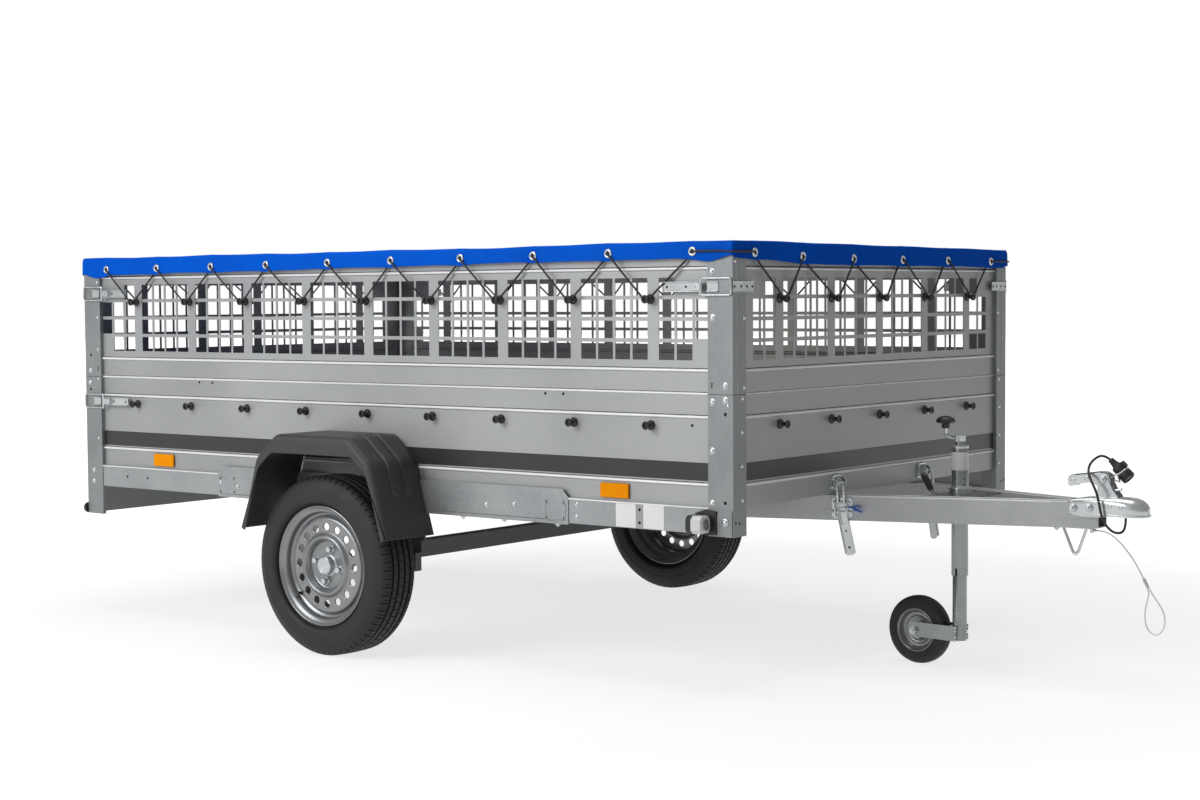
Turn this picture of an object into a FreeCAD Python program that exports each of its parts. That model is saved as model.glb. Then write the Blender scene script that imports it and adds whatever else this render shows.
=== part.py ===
import FreeCAD, Part
import math
import os
import re

import Sketcher

# Utility trailer: a galvanised tipping box on one axle, with a mesh extension and a laced cover.
# Lengths are millimetres. +X points to the coupling, +Y to the left and +Z up from the ground.
# Pieces are drawn with X counted from the box's rear face, and each piece's Placement then
# moves it so that X is zero at the middle of the whole trailer.

Vector = FreeCAD.Vector
X_AXIS = Vector(1, 0, 0)
Y_AXIS = Vector(0, 1, 0)
Z_AXIS = Vector(0, 0, 1)
ZERO = Vector(0, 0, 0)

# Driving sizes
SIZES = {
    # load box
    "box_length": 2700, "box_half": 786, "board_wall": 22, "board_height": 304,
    "extension_height": 400, "bead_radius": 6, "bead_sink": 3, "bead_low_rise": 59.5,
    "bead_mid_rise": 241, "bead_high_rise": 62.5, "bead_crown_drop": 63.5, "bead_end_gap": 0.3,
    # corner posts
    "post_wall": 12, "post_side": 81, "post_end": 63, "post_under": 4, "rear_post_under": 97,
    # side rails and the deeper plates over them beside the axle
    "rail_bottom": 441, "rail_height": 72, "rail_wall": 2.5, "rail_flange": 45,
    "plate_wall": 3, "plate_under": 4, "plate_over": 24, "plate_behind": 635,
    "plate_ahead": 831, "plate_chamfer": 22, "plate_hole_radius": 5,
    "plate_hole_side": 64, "plate_hole_rise": 45, "plate_hole_inset": 13,
    "plate_hole_lift": 16,
    # floor
    "batten_height": 20, "batten_width": 60, "floor_wall": 9, "tail_clearance": 6,
    "tail_side_clearance": 5, "tail_bottom_clearance": 8, "tail_top_clearance": 8,
    # mesh extension
    "panel_wall": 2.5, "rim_depth": 20, "rim_wall": 3, "sill_rise": 89.5,
    "window_height": 48, "row_pitch": 58.5, "side_hook_margin": 270, "end_hook_margin": 246, "wide_bar": 38,
    "thin_bar": 8,
    # cord hooks
    "hook_low_drop": 89.4, "hook_high_drop": 147, "hook_length": 28, "hook_groove": 20,
    "hook_base_radius": 14, "hook_base": 8, "hook_stem_radius": 6, "hook_head_radius": 11,
    "hook_head": 4,
    # cover and its elastic
    "cover_wall": 3.5, "cover_gap": 0.3, "skirt_drop": 50, "eyelet_drop": 25,
    "lace_radius": 2.5, "lace_outer_play": 1.5, "lace_inner_play": 3.8, "lace_hook_rise": 3,
    "lace_hook_play": 0.8,
    # tailgate
    "knuckle_radius": 6, "knuckle_drop": 1, "knuckle_length": 34, "knuckle_gap": 1,
    "pin_radius": 3, "pin_play": 0.3, "leaf_wall": 3, "leaf_height": 42, "hinge_inset": 226,
    "panel_plate": 4,
    # rear lamps and plate
    "tail_lamp_depth": 50, "tail_lamp_width": 200, "tail_lamp_height": 100,
    "tail_lamp_rise": 18, "tail_lamp_inset": 196, "number_width": 520,
    "number_height": 110, "number_wall": 3, "number_rise": 11,
    "buffer_depth": 14, "buffer_width": 40, "buffer_height": 36,
    # side reflectors and front marker lamps
    "reflector_length": 100, "reflector_height": 42, "reflector_depth": 8,
    "reflector_rise": 8, "reflector_tail_inset": 394, "reflector_nose_inset": 403,
    "marker_side": 45, "marker_height": 49, "marker_rise": 8, "marker_inset": 16,
    "marker_plate": 4, "marker_plate_length": 118, "marker_plate_inset": 10,
    "marker_plate_margin": 6,
    # corner latches
    "latch_wall": 4, "latch_height": 36, "latch_front_length": 208,
    "latch_rear_length": 195, "latch_end_length": 98, "latch_foot": 30,
    "latch_front_drop": 116, "latch_rear_drop": 109, "latch_low_drop": 78,
    "latch_lever": 120, "latch_lever_height": 16, "latch_lever_depth": 5,
    "latch_lever_inset": 69, "latch_foot_height": 16,
    # tipping hinge and drawbar arms
    "axle_setback": 1394, "hinge_rise": 31, "shaft_radius": 15, "shaft_play": 0.3,
    "arm_height": 72, "arm_width": 45, "arm_wall": 3, "arm_inset": 92,
    "arm_end_half": 28, "arm_end_gap": 105, "arm_tail": 25, "bush_radius": 22,
    "bush_length": 62,
    # axle and hubs
    "beam_side": 50, "beam_rise": 13.4, "beam_inset": 96, "beam_lead": 150,
    "swing_wall": 26, "swing_height": 56, "stub_radius": 15, "stub_short": 18,
    "seat_wall": 8, "seat_length": 150,
    # wheels
    "tyre_radius": 273.6, "tyre_width": 157, "wheel_offset": 94,
    "rim_lip": 17.6, "rim_seat_radius": 165, "rim_well_drop": 17,
    "rim_half_width": 66, "rim_bead_half": 54.2, "rim_well_half": 22, "rim_wall": 4,
    "tyre_play": 0.3, "disc_place": 38, "disc_wall": 5, "vent_radius": 12,
    "vent_inset": 48, "crest_inset": 75, "crest_rise": 14, "dish_inset": 95,
    "dish_place": 28, "centre_radius": 29, "hub_radius": 62, "hub_flange": 10,
    "hub_barrel": 38, "hub_depth": 62, "hub_play": 0.3, "stud_circle": 50,
    "stud_radius": 9, "stud_length": 18, "cap_radius": 27, "cap_rise": 26,
    # mudguards
    "guard_rise": 101.4, "guard_shoulder_rise": 324.4, "guard_top_rise": 401.4,
    "guard_room": 40.4, "guard_shoulder_half": 248, "guard_top_half": 158, "guard_wall": 3.5,
    "guard_reach": 199, "guard_chamfer": 14, "guard_lip_top_rise": 339.4,
    "guard_lip_half": 171, "guard_lip_shoulder_rise": 294.4, "guard_lip_shoulder_half": 229,
    "guard_lip_inset": 8, "guard_gap": 0.3, "guard_clear": 10,
    # cross plate, clamp and jockey tube
    "jockey_reach": 253, "cross_behind": 48, "cross_ahead": 82, "cross_wall": 6,
    "tube_radius": 24, "tube_wall": 2.5, "tube_drop": 202, "tube_rise": 174,
    "clamp_play": 0.2, "clamp_wall": 7, "clamp_drop": 4, "clamp_rise": 50,
    "cap_height": 10, "cap_neck_radius": 16, "screw_radius": 7.5, "screw_reach": 30,
    "crank_radius": 5, "crank_reach": 46, "crank_pin": 27, "boss_height": 19,
    "pin_shaft_radius": 6, "knob_radius": 27, "knob_height": 37, "knob_neck_radius": 10,
    "lever_radius": 5, "grip_radius": 8, "grip_reach": 28, "grip_rise": 50, "lever_reach": 34,
    # jockey leg and wheel
    "leg_radius": 20.5, "leg_wall": 3, "leg_overlap": 130, "nut_height": 20, "nut_play": 0.3,
    "jockey_radius": 100, "jockey_width": 50, "jockey_trail": 135, "castor_turn": 4.5,
    "fork_wall": 4, "fork_gap": 4, "fork_height": 43, "fork_drop": 18,
    "fork_head": 5, "fork_end": 15, "bolt_radius": 6, "bolt_play": 0.3,
    "bolt_head_radius": 11, "bolt_head": 8, "jockey_rim_radius": 62,
    "jockey_rim_wall": 3, "jockey_hub_radius": 15, "jockey_disc_wall": 4,
    # coupling
    "ball_reach": 795, "ball_rise": 15, "head_radius": 40, "ball_radius": 25.4,
    "coupling_length": 200, "cheek_half": 38, "cheek_wall": 3.5, "cheek_drop": 21,
    "cheek_gap": 0.3, "crown_wall": 4, "neck_half": 30,
    "lip_height": 5, "coupling_bolt_radius": 8, "coupling_bolt_head": 6,
    "bolt_inset": 15, "bolt_step": 46, "bolt_rise": 1,
    "handle_behind": 7, "handle_length": 112, "handle_half": 16, "handle_height": 28,
    "handle_wall": 3, "handle_rise": 59, "ear_inset": 77, "ear_length": 43,
    "ear_crown": 14, "ear_wall": 3, "pivot_radius": 6, "pivot_inset": 21,
    "pivot_rise": 79, "pivot_head": 4,
    # rest hook under the nose
    "hook_plate_back": 242, "hook_plate_length": 109, "hook_plate_half": 25,
    "hook_plate_wall": 4, "rod_radius": 4, "rod_inset": 20, "rod_lean": 41,
    "rod_rise": 32, "rod_drop": 78,
    # tilt catches
    "catch_reach": 9, "catch_plate": 60, "catch_plate_wall": 5, "catch_drop": 26,
    "catch_rise": 30, "catch_handle": 128, "catch_handle_width": 32,
    "catch_handle_depth": 14, "catch_pivot_drop": 10, "catch_lean": 12,
    "bracket_half": 40, "bracket_rise": 6, "bracket_height": 47, "bracket_wall": 4,
    "bracket_reach": 30, "bracket_pin_radius": 5, "bracket_gap": 34,
    # plug in its clip, and the two cords at the nose
    "plug_radius": 19, "plug_length": 66, "plug_neck": 14, "plug_neck_length": 18,
    "plug_back": 92, "plug_tail_side": 42, "plug_rise": 126, "plug_dip": 42,
    "plug_play": 0.3, "holder_wall": 3, "holder_length": 12, "holder_foot": 10,
    "cable_radius": 3.5, "cable_lead": 36, "cable_end_back": 37, "wire_radius": 2,
    "lug_inset": 12, "lug_length": 8, "lug_half": 5, "lug_drop": 10,
    "ferrule_radius": 4.6, "ferrule_length": 14, "loop_ferrule_length": 24,
    "loop_lead": 16, "strand_half": 2.3,
    # shared play in cuts
    "overrun": 40,
}

# Places, heights and half widths that are sums of the sizes above
PLACES = {
    "rail_top": ("rail_bottom", "rail_height"),
    "plate_bottom": ("rail_bottom", "-plate_under"),
    "plate_top": ("rail_top", "plate_over"),
    "plate_hole_low": ("plate_bottom", "plate_hole_lift"),
    "post_bottom": ("rail_bottom", "-post_under"),
    "rear_post_bottom": ("rail_bottom", "-rear_post_under"),
    "board_top": ("rail_top", "board_height"),
    "extension_top": ("board_top", "extension_height"),
    "bead_low": ("rail_top", "bead_low_rise"),
    "bead_mid": ("rail_top", "bead_mid_rise"),
    "bead_high": ("board_top", "bead_high_rise"),
    "bead_crown": ("extension_top", "-bead_crown_drop"),
    "sill_height": ("board_top", "sill_rise"),
    "hook_low": ("board_top", "-hook_low_drop"),
    "hook_high": ("extension_top", "-hook_high_drop"),
    "cover_inside": ("extension_top", "cover_gap"),
    "skirt_bottom": ("extension_top", "-skirt_drop"),
    "eyelet_height": ("extension_top", "-eyelet_drop"),
    "lace_outer": ("box_half", "cover_gap", "cover_wall", "lace_radius", "lace_outer_play"),
    "lace_inner": ("box_half", "cover_gap", "-lace_radius", "-lace_inner_play"),
    "tailgate_bottom": ("rail_top", "tail_bottom_clearance"),
    "tailgate_top": ("board_top", "-tail_top_clearance"),
    "knuckle_height": ("tailgate_bottom", "-knuckle_drop"),
    "hinge_place": ("box_half", "-hinge_inset"),
    "tail_lamp_bottom": ("rear_post_bottom", "tail_lamp_rise"),
    "tail_lamp_centre": ("box_half", "-tail_lamp_inset"),
    "number_bottom": ("rear_post_bottom", "number_rise"),
    "reflector_bottom": ("rail_top", "reflector_rise"),
    "reflector_nose": ("box_length", "-reflector_nose_inset"),
    "marker_bottom": ("post_bottom", "marker_rise"),
    "marker_plate_nose": ("box_length", "-marker_plate_inset"),
    "marker_plate_tail": ("marker_plate_nose", "-marker_plate_length"),
    "marker_tail": ("marker_plate_tail", "marker_inset"),
    "latch_front_height": ("extension_top", "-latch_front_drop"),
    "latch_rear_height": ("extension_top", "-latch_rear_drop"),
    "latch_low_height": ("board_top", "-latch_low_drop"),
    "axle_place": ("box_length", "-axle_setback"),
    "plate_tail": ("axle_place", "-plate_behind"),
    "plate_nose": ("axle_place", "plate_ahead"),
    "hinge_height": ("rail_bottom", "hinge_rise"),
    "arm_tail_half": ("box_half", "-arm_inset"),
    "beam_half": ("box_half", "-beam_inset"),
    "beam_bottom": ("tyre_radius", "beam_rise"),
    "wheel_half_track": ("box_half", "wheel_offset"),
    "stub_end": ("wheel_half_track", "-stub_short"),
    "rim_flange_radius": ("rim_seat_radius", "rim_lip"),
    "rim_well_radius": ("rim_seat_radius", "-rim_well_drop"),
    "vent_circle": ("rim_seat_radius", "-vent_inset"),
    "crest_radius": ("rim_seat_radius", "-crest_inset"),
    "dish_radius": ("rim_seat_radius", "-dish_inset"),
    "guard_bottom": ("tyre_radius", "guard_rise"),
    "guard_shoulder": ("tyre_radius", "guard_shoulder_rise"),
    "guard_top": ("tyre_radius", "guard_top_rise"),
    "guard_half": ("tyre_radius", "guard_room"),
    "guard_outer": ("box_half", "guard_reach"),
    "guard_lip_top": ("tyre_radius", "guard_lip_top_rise"),
    "guard_lip_shoulder": ("tyre_radius", "guard_lip_shoulder_rise"),
    "guard_lip_low_half": ("guard_half", "-guard_lip_inset"),
    "jockey_place": ("box_length", "jockey_reach"),
    "cross_tail": ("jockey_place", "-cross_behind"),
    "cross_nose": ("jockey_place", "cross_ahead"),
    "tube_bottom": ("hinge_height", "-tube_drop"),
    "tube_top": ("hinge_height", "tube_rise"),
    "clamp_bottom": ("hinge_height", "-clamp_drop"),
    "clamp_top": ("hinge_height", "clamp_rise"),
    "screw_bottom": ("tube_bottom", "screw_reach"),
    "leg_top": ("tube_bottom", "leg_overlap"),
    "ball_place": ("box_length", "ball_reach"),
    "ball_height": ("hinge_height", "ball_rise"),
    "arm_end": ("ball_place", "-arm_end_gap"),
    "coupling_tail": ("ball_place", "-coupling_length"),
    "cheek_bottom": ("ball_height", "-cheek_drop"),
    "coupling_bolt_tail": ("coupling_tail", "bolt_inset"),
    "coupling_bolt_height": ("ball_height", "bolt_rise"),
    "handle_tail": ("coupling_tail", "-handle_behind"),
    "handle_bottom": ("ball_height", "handle_rise"),
    "ear_tail": ("coupling_tail", "ear_inset"),
    "pivot_place": ("ear_tail", "pivot_inset"),
    "pivot_height": ("ball_height", "pivot_rise"),
    "ear_top": ("pivot_height", "ear_crown"),
    "hook_plate_tail": ("ball_place", "-hook_plate_back"),
    "hook_plate_nose": ("hook_plate_tail", "hook_plate_length"),
    "rod_tail": ("hook_plate_tail", "rod_inset"),
    "rod_low": ("rod_tail", "rod_lean"),
    "rod_nose": ("rod_low", "rod_rise"),
    "lug_place": ("hook_plate_nose", "-lug_inset"),
    "catch_place": ("box_length", "catch_reach"),
    "catch_low": ("hinge_height", "-catch_drop"),
    "catch_high": ("hinge_height", "catch_rise"),
    "catch_pivot": ("hinge_height", "-catch_pivot_drop"),
    "bracket_low": ("rail_top", "bracket_rise"),
    "plug_tail_place": ("ball_place", "-plug_back"),
    "plug_tail_height": ("ball_height", "plug_rise"),
    "cable_end_place": ("ball_place", "-cable_end_back"),
}

SIDE_HOOK_COUNT = 9
END_HOOK_COUNT = 5
# for each hook, whether its rear and front leg of elastic pass over the cover's skirt
SIDE_OVER = ((True, False),) * SIDE_HOOK_COUNT
END_OVER = ((False, True), (False, True), (False, False), (True, False), (True, False))
VENT_COUNT = 16
STUD_COUNT = 4
WINDOW_ROW_COUNT = 4
BAY_WINDOW_COUNT = 4
# windows beside each corner post, from the bottom row up, where the latch leaves less room
END_WINDOW_COUNTS = (2, 3, 3, 1)
# places of the floor battens between the tailgate and the front board, none over the hinge
BATTEN_SHARES = (0.0, 0.15, 0.30, 0.438, 0.54, 0.69, 0.84, 1.0)
# tyre section: share of half the width, and share of the sidewall height from bead to tread
TYRE_SHARES = ((0.68, 0.0), (0.74, 0.175), (0.94, 0.25), (1.0, 0.46), (0.95, 0.72), (0.84, 0.93), (0.72, 1.0))
# section of the small tyre: share of its half width, and share of its height above the rim
SMALL_TYRE_SHARES = ((0.8, 0.0), (1.0, 0.5), (0.92, 0.8), (0.6, 1.0))

doc = FreeCAD.newDocument("utility_trailer")
sheet = doc.addObject("Spreadsheet::Sheet", "Sizes")
for row, (alias, value) in enumerate(SIZES.items(), start=1):
    sheet.set("A%d" % row, alias)
    sheet.set("B%d" % row, str(value))
    sheet.setAlias("B%d" % row, alias)
doc.recompute()

NAME = re.compile(r"[a-z][a-z_]+")
pieces = []


def size(name):
    """A size from the sheet, or the sum of sizes that a place stands for."""
    if name.startswith("-"):
        return -size(name[1:])
    if name in PLACES:
        return sum(size(part) for part in PLACES[name])
    return float(sheet.get(name))


def spelled(name):
    """A size's cell, or a place written out as the sum of its cells."""
    if name.startswith("-"):
        return "-" + spelled(name[1:])
    if name in PLACES:
        return "(" + " + ".join(spelled(part) for part in PLACES[name]) + ")"
    return "Sizes." + name if name in SIZES else name


def cells(text):
    """The expression text with each name read from the sheet."""
    return NAME.sub(lambda word: spelled(word.group()), text)


def bind(thing, **texts):
    """Binds properties of an object to expressions of the sheet's sizes."""
    for name, text in texts.items():
        thing.setExpression(name, cells(text))


def put(thing, x="0", y="0", z="0"):
    """Binds the place of an object to expressions."""
    for name, text in (("x", x), ("y", y), ("z", z)):
        thing.setExpression("Placement.Base." + name, cells(text))
    return thing


# middle of the whole trailer, between the rear lamps and the coupling's nose
ORIGIN_TEXT = "((ball_place + head_radius - tail_lamp_depth) / 2)"
ORIGIN = (size("ball_place") + size("head_radius") - size("tail_lamp_depth")) / 2


def settle(label, thing):
    """Names a sub-part and gives it its place in the trailer's own frame."""
    thing.Label = label
    put(thing, x="-" + ORIGIN_TEXT)
    pieces.append(thing)


def piece(label, thing):
    """A sub-part that holds one object built from expressions."""
    settle(label, group(label, [thing]))


def solid_piece(label, shape):
    """A sub-part whose shape is worked out here from the sheet's sizes."""
    thing = doc.addObject("Part::Feature", label)
    thing.Shape = Part.makeCompound([shape])
    settle(label, thing)


def block(name, length, width, height, x, y, z):
    """A box bound to expressions, with its lowest corner at x, y, z."""
    thing = doc.addObject("Part::Box", name)
    bind(thing, Length=length, Width=width, Height=height)
    return put(thing, x, y, z)


def rod(name, radius, length, x, y, z, axis=Z_AXIS):
    """A cylinder along an axis from x, y, z."""
    thing = doc.addObject("Part::Cylinder", name)
    bind(thing, Radius=radius, Height=length)
    thing.Placement = FreeCAD.Placement(ZERO, FreeCAD.Rotation(Z_AXIS, axis))
    return put(thing, x, y, z)


def join(name, things):
    thing = doc.addObject("Part::MultiFuse", name)
    thing.Shapes = things
    return thing


def cut(name, base, tool):
    thing = doc.addObject("Part::Cut", name)
    thing.Base = base
    thing.Tool = tool
    return thing


def group(name, things):
    thing = doc.addObject("Part::Compound", name)
    thing.Links = things
    return thing


def mirrored(name, source):
    """The same piece on the other side of the trailer's middle plane."""
    thing = doc.addObject("Part::Mirroring", name)
    thing.Source = source
    thing.Normal = Y_AXIS
    thing.Base = ZERO
    return thing


def both_sides(name, source):
    return group(name, [source, mirrored(name + "_mirror", source)])


def origin_plane(body, role):
    return [plane for plane in body.Origin.OriginFeatures if plane.Role == role][0]


def outline(body, name, role, points):
    """A closed sketch of straight sides on a body's origin plane, each corner held by two expressions."""
    sketch = body.newObject("Sketcher::SketchObject", name)
    sketch.AttachmentSupport = [(origin_plane(body, role), "")]
    sketch.MapMode = "FlatFace"
    count = len(points)
    # the corners start on a unit circle and the expressions then move them
    turn = 2 * math.pi / count
    rough = [Vector(math.cos(turn * k), math.sin(turn * k), 0) for k in range(count)]
    for k in range(count):
        sketch.addGeometry(Part.LineSegment(rough[k], rough[(k + 1) % count]), False)
    for k in range(count):
        sketch.addConstraint(Sketcher.Constraint("Coincident", k, 2, (k + 1) % count, 1))
    for k, (across, up) in enumerate(points):
        for kind, start, text in (("DistanceX", rough[k].x, across), ("DistanceY", rough[k].y, up)):
            number = sketch.addConstraint(Sketcher.Constraint(kind, -1, 1, k, 1, start))
            sketch.setExpression("Constraints[%d]" % number, cells(text))
    return sketch


def padded(name, role, points, length, x="0", y="0", z="0"):
    """A body that pushes an outline out of an origin plane."""
    body = doc.addObject("PartDesign::Body", name)
    sketch = outline(body, name + "_outline", role, points)
    pad = body.newObject("PartDesign::Pad", name + "_pad")
    pad.Profile = sketch
    bind(pad, Length=length)
    return put(body, x, y, z)


def spun(name, points):
    """A body turned round the Y axis from points of radius and place along the axis."""
    body = doc.addObject("PartDesign::Body", name)
    sketch = outline(body, name + "_section", "XY_Plane", points)
    turned = body.newObject("PartDesign::Revolution", name + "_turn")
    turned.Profile = sketch
    turned.ReferenceAxis = (sketch, ["V_Axis"])
    turned.Angle = 360
    return body


def ring_of_holes(body, name, radius, circle, count):
    """Round holes through a turned body, spaced evenly about its axis."""
    sketch = body.newObject("Sketcher::SketchObject", name + "_circle")
    sketch.AttachmentSupport = [(origin_plane(body, "XZ_Plane"), "")]
    sketch.MapMode = "FlatFace"
    sketch.addGeometry(Part.Circle(Vector(1, 0, 0), Z_AXIS, 1), False)
    number = sketch.addConstraint(Sketcher.Constraint("Radius", 0, 1))
    sketch.setExpression("Constraints[%d]" % number, cells(radius))
    number = sketch.addConstraint(Sketcher.Constraint("DistanceX", -1, 1, 0, 3, 1))
    sketch.setExpression("Constraints[%d]" % number, cells(circle))
    sketch.addConstraint(Sketcher.Constraint("PointOnObject", 0, 3, -1))
    pocket = body.newObject("PartDesign::Pocket", name + "_hole")
    pocket.Profile = sketch
    pocket.Type = "ThroughAll"
    pocket.Midplane = True
    pattern = body.newObject("PartDesign::PolarPattern", name + "_ring")
    pattern.Originals = [pocket]
    pattern.Axis = (sketch, ["N_Axis"])
    pattern.Angle = 360
    pattern.Occurrences = count
    body.Tip = pattern


def turned_about(thing, axis, angle):
    """Turns an object about an axis through its own base point."""
    thing.Placement = FreeCAD.Placement(thing.Placement.Base, FreeCAD.Rotation(axis, angle))
    return thing


# Numbers that several free shapes share
BOX_MIDDLE = size("box_length") / 2
HALF_WIDTH = size("box_half")
FACE_HALF = HALF_WIDTH - size("post_wall")
FACE_TEXT = "(box_half - post_wall)"
INNER_TEXT = "(box_half - post_wall - board_wall)"
ARM_TOP_TEXT = "(hinge_height + arm_height / 2)"
ARM_BOTTOM_TEXT = "(hinge_height - arm_height / 2)"
ARM_BOTTOM = size("hinge_height") - size("arm_height") / 2
ARM_TOP = size("hinge_height") + size("arm_height") / 2
ARM_SLOPE = (size("arm_tail_half") - size("arm_end_half")) / (size("arm_end") - size("axle_place"))
ARM_ANGLE = math.degrees(math.atan(ARM_SLOPE))


# Side rails: C sections with their web outside, between the corner posts
def side_rails():
    web = "-(box_half - rail_wall)"
    edge = "-(box_half - rail_wall - rail_flange)"
    inside = "-(box_half - 2 * rail_wall)"
    points = [(web, "rail_bottom"), (edge, "rail_bottom"), (edge, "rail_bottom + rail_wall"),
              (inside, "rail_bottom + rail_wall"), (inside, "rail_top - rail_wall"),
              (edge, "rail_top - rail_wall"), (edge, "rail_top"), (web, "rail_top")]
    right = padded("rail", "YZ_Plane", points, "box_length - 2 * post_side", x="post_side")
    piece("side_rails", both_sides("rails", right))


# Axle plates: deeper plates over the rails, with chamfered ends and square sets of holes
def axle_plates():
    points = [("plate_tail", "plate_bottom"), ("plate_nose", "plate_bottom"),
              ("plate_nose", "plate_top - plate_chamfer"),
              ("plate_nose - plate_chamfer", "plate_top"),
              ("plate_tail + plate_chamfer", "plate_top"),
              ("plate_tail", "plate_top - plate_chamfer")]
    plate = padded("plate", "XZ_Plane", points, "plate_wall", y="-(box_half - rail_wall)")
    drills = []
    for row in range(2):
        for column in range(2):
            for end in ("front", "rear"):
                edge = "plate_nose - plate_hole_inset - %d * plate_hole_side" % column
                if end == "rear":
                    edge = "plate_tail + plate_hole_inset + %d * plate_hole_side" % column
                drills.append(rod("plate_drill", "plate_hole_radius", "plate_wall + 2 * overrun", edge,
                                  "-(box_half + plate_wall + overrun)",
                                  "plate_hole_low + %d * plate_hole_rise" % row, Y_AXIS))
    drilled = cut("plate_drilled", plate, join("plate_drills", drills))
    piece("axle_plates", both_sides("plates", drilled))


# Corner posts: thick L sections, the lower and upper lengths meeting at the board's top
def corner_post(name, bottom, top, rear):
    points = [("0", "0"), ("0", "post_end"), ("-post_wall", "post_end"), ("-post_wall", "post_wall"),
              ("-post_side", "post_wall"), ("-post_side", "0")]
    post = padded(name, "XY_Plane", points, top + " - " + bottom)
    if rear:
        turned_about(post, Z_AXIS, 180)
        return put(post, "0", "box_half", bottom)
    return put(post, "box_length", "-box_half", bottom)


def corner_posts():
    lower = [corner_post("front_post", "post_bottom", "board_top", False),
             corner_post("rear_post", "rear_post_bottom", "board_top", True)]
    upper = [corner_post("front_post_upper", "board_top", "extension_top", False),
             corner_post("rear_post_upper", "board_top", "extension_top", True)]
    piece("corner_posts_lower", both_sides("posts_lower", group("lower_pair", lower)))
    piece("corner_posts_upper", both_sides("posts_upper", group("upper_pair", upper)))


# Lower boards: plates with rolled beads, standing on the rails
def bead(name, length, x, y, z, axis):
    return rod(name, "bead_radius", length, x, y, z, axis)


def side_board():
    board = block("side_plate", "box_length - 2 * post_wall", "board_wall", "board_top - rail_top",
                  "post_wall", "-" + FACE_TEXT, "rail_top")
    beads = [bead("side_bead", "box_length - 2 * post_side - 2 * bead_end_gap", "post_side + bead_end_gap",
                  "-%s + bead_sink" % FACE_TEXT, level, X_AXIS) for level in ("bead_low", "bead_mid")]
    return join("side_board", [board] + beads)


def boards():
    right = side_board()
    piece("side_board_right", right)
    piece("side_board_left", mirrored("board_mirror", right))
    front = block("front_plate", "board_wall", "2 * " + INNER_TEXT, "board_top - rail_top",
                  "box_length - post_wall - board_wall", "-" + INNER_TEXT, "rail_top")
    beads = [bead("front_bead", "2 * box_half - 2 * post_end - 2 * bead_end_gap",
                  "box_length - post_wall - bead_sink", "-(box_half - post_end - bead_end_gap)",
                  level, Y_AXIS) for level in ("bead_low", "bead_mid")]
    piece("front_board", join("front_board_solid", [front] + beads))


# Tailgate: a beaded plate between the rear posts, hinged at its bottom edge
def knuckle_span(centre, share):
    """Start of one half of a hinge along Y, the tailgate's half first."""
    return "%s + %d * (knuckle_length + knuckle_gap)" % (centre, share)


def tailgate():
    half = "(box_half - post_end - tail_side_clearance)"
    board = block("tail_plate", "board_wall", "2 * " + half, "tailgate_top - tailgate_bottom",
                  "0", "-" + half, "tailgate_bottom")
    beads = [bead("tail_bead", "2 * (%s - bead_radius)" % half, "bead_sink", "-(%s - bead_radius)" % half,
                  level, Y_AXIS) for level in ("bead_low", "bead_mid")]
    leaves = []
    bores = []
    for centre in ("-hinge_place", "0", "hinge_place"):
        start = knuckle_span(centre, 0)
        leaves.append(rod("tail_knuckle", "knuckle_radius", "knuckle_length", "-knuckle_radius", start,
                          "knuckle_height", Y_AXIS))
        leaves.append(block("tail_leaf", "leaf_wall", "knuckle_length", "leaf_height", "-leaf_wall", start,
                            "tailgate_bottom + knuckle_gap"))
        bores.append(rod("tail_bore", "pin_radius + pin_play", "knuckle_length + 2 * knuckle_gap",
                         "-knuckle_radius", start + " - knuckle_gap", "knuckle_height", Y_AXIS))
    solid = join("tail_solid", [board] + beads + leaves)
    piece("tailgate", cut("tail_bored", solid, join("tail_bores", bores)))


def tailgate_hinges():
    hinges = []
    for centre in ("-hinge_place", "0", "hinge_place"):
        start = knuckle_span(centre, 1)
        parts = [rod("hinge_knuckle", "knuckle_radius", "knuckle_length", "-knuckle_radius", start,
                     "knuckle_height", Y_AXIS),
                 block("hinge_leaf", "leaf_wall", "knuckle_length", "leaf_height", "-leaf_wall", start,
                       "knuckle_height - leaf_height"),
                 rod("hinge_pin", "pin_radius", "2 * knuckle_length + knuckle_gap", "-knuckle_radius",
                     knuckle_span(centre, 0), "knuckle_height", Y_AXIS)]
        hinges.append(join("hinge", parts))
    piece("tailgate_hinges", group("hinges", hinges))


# Rear cross panel below the tailgate, with the lamps and the blank plate
def rear_end():
    half = "(box_half - post_end)"
    piece("rear_panel", block("rear_plate", "panel_plate", "2 * " + half, "rail_top - rear_post_bottom",
                              "0", "-" + half, "rear_post_bottom"))
    lamp = block("tail_lamp", "tail_lamp_depth", "tail_lamp_width", "tail_lamp_height", "-tail_lamp_depth",
                 "-tail_lamp_centre - tail_lamp_width / 2", "tail_lamp_bottom")
    piece("tail_lamps", both_sides("lamps", lamp))
    piece("number_plate", block("number", "number_wall", "number_width", "number_height", "-number_wall",
                                "-number_width / 2", "number_bottom"))
    buffer = block("buffer", "buffer_depth", "buffer_width", "buffer_height", "-buffer_depth",
                   "-box_half + buffer_depth / 2", "rear_post_bottom")
    piece("post_buffers", both_sides("buffers", buffer))


# Floor: battens across the rails and a sheet on them
def floor():
    rear = "board_wall + tail_clearance"
    room = "(box_length - post_wall - 2 * board_wall - 3 * tail_clearance - batten_width)"
    battens = [block("batten", "batten_width", "2 * " + INNER_TEXT, "batten_height",
                     "%s + tail_clearance + %s * %s" % (rear, room, share), "-" + INNER_TEXT, "rail_top")
               for share in BATTEN_SHARES]
    piece("floor_battens", group("battens", battens))
    piece("floor", block("floor_sheet", "box_length - post_wall - board_wall - (%s)" % rear,
                         "2 * " + INNER_TEXT, "floor_wall", rear, "-" + INNER_TEXT,
                         "rail_top + batten_height"))


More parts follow.
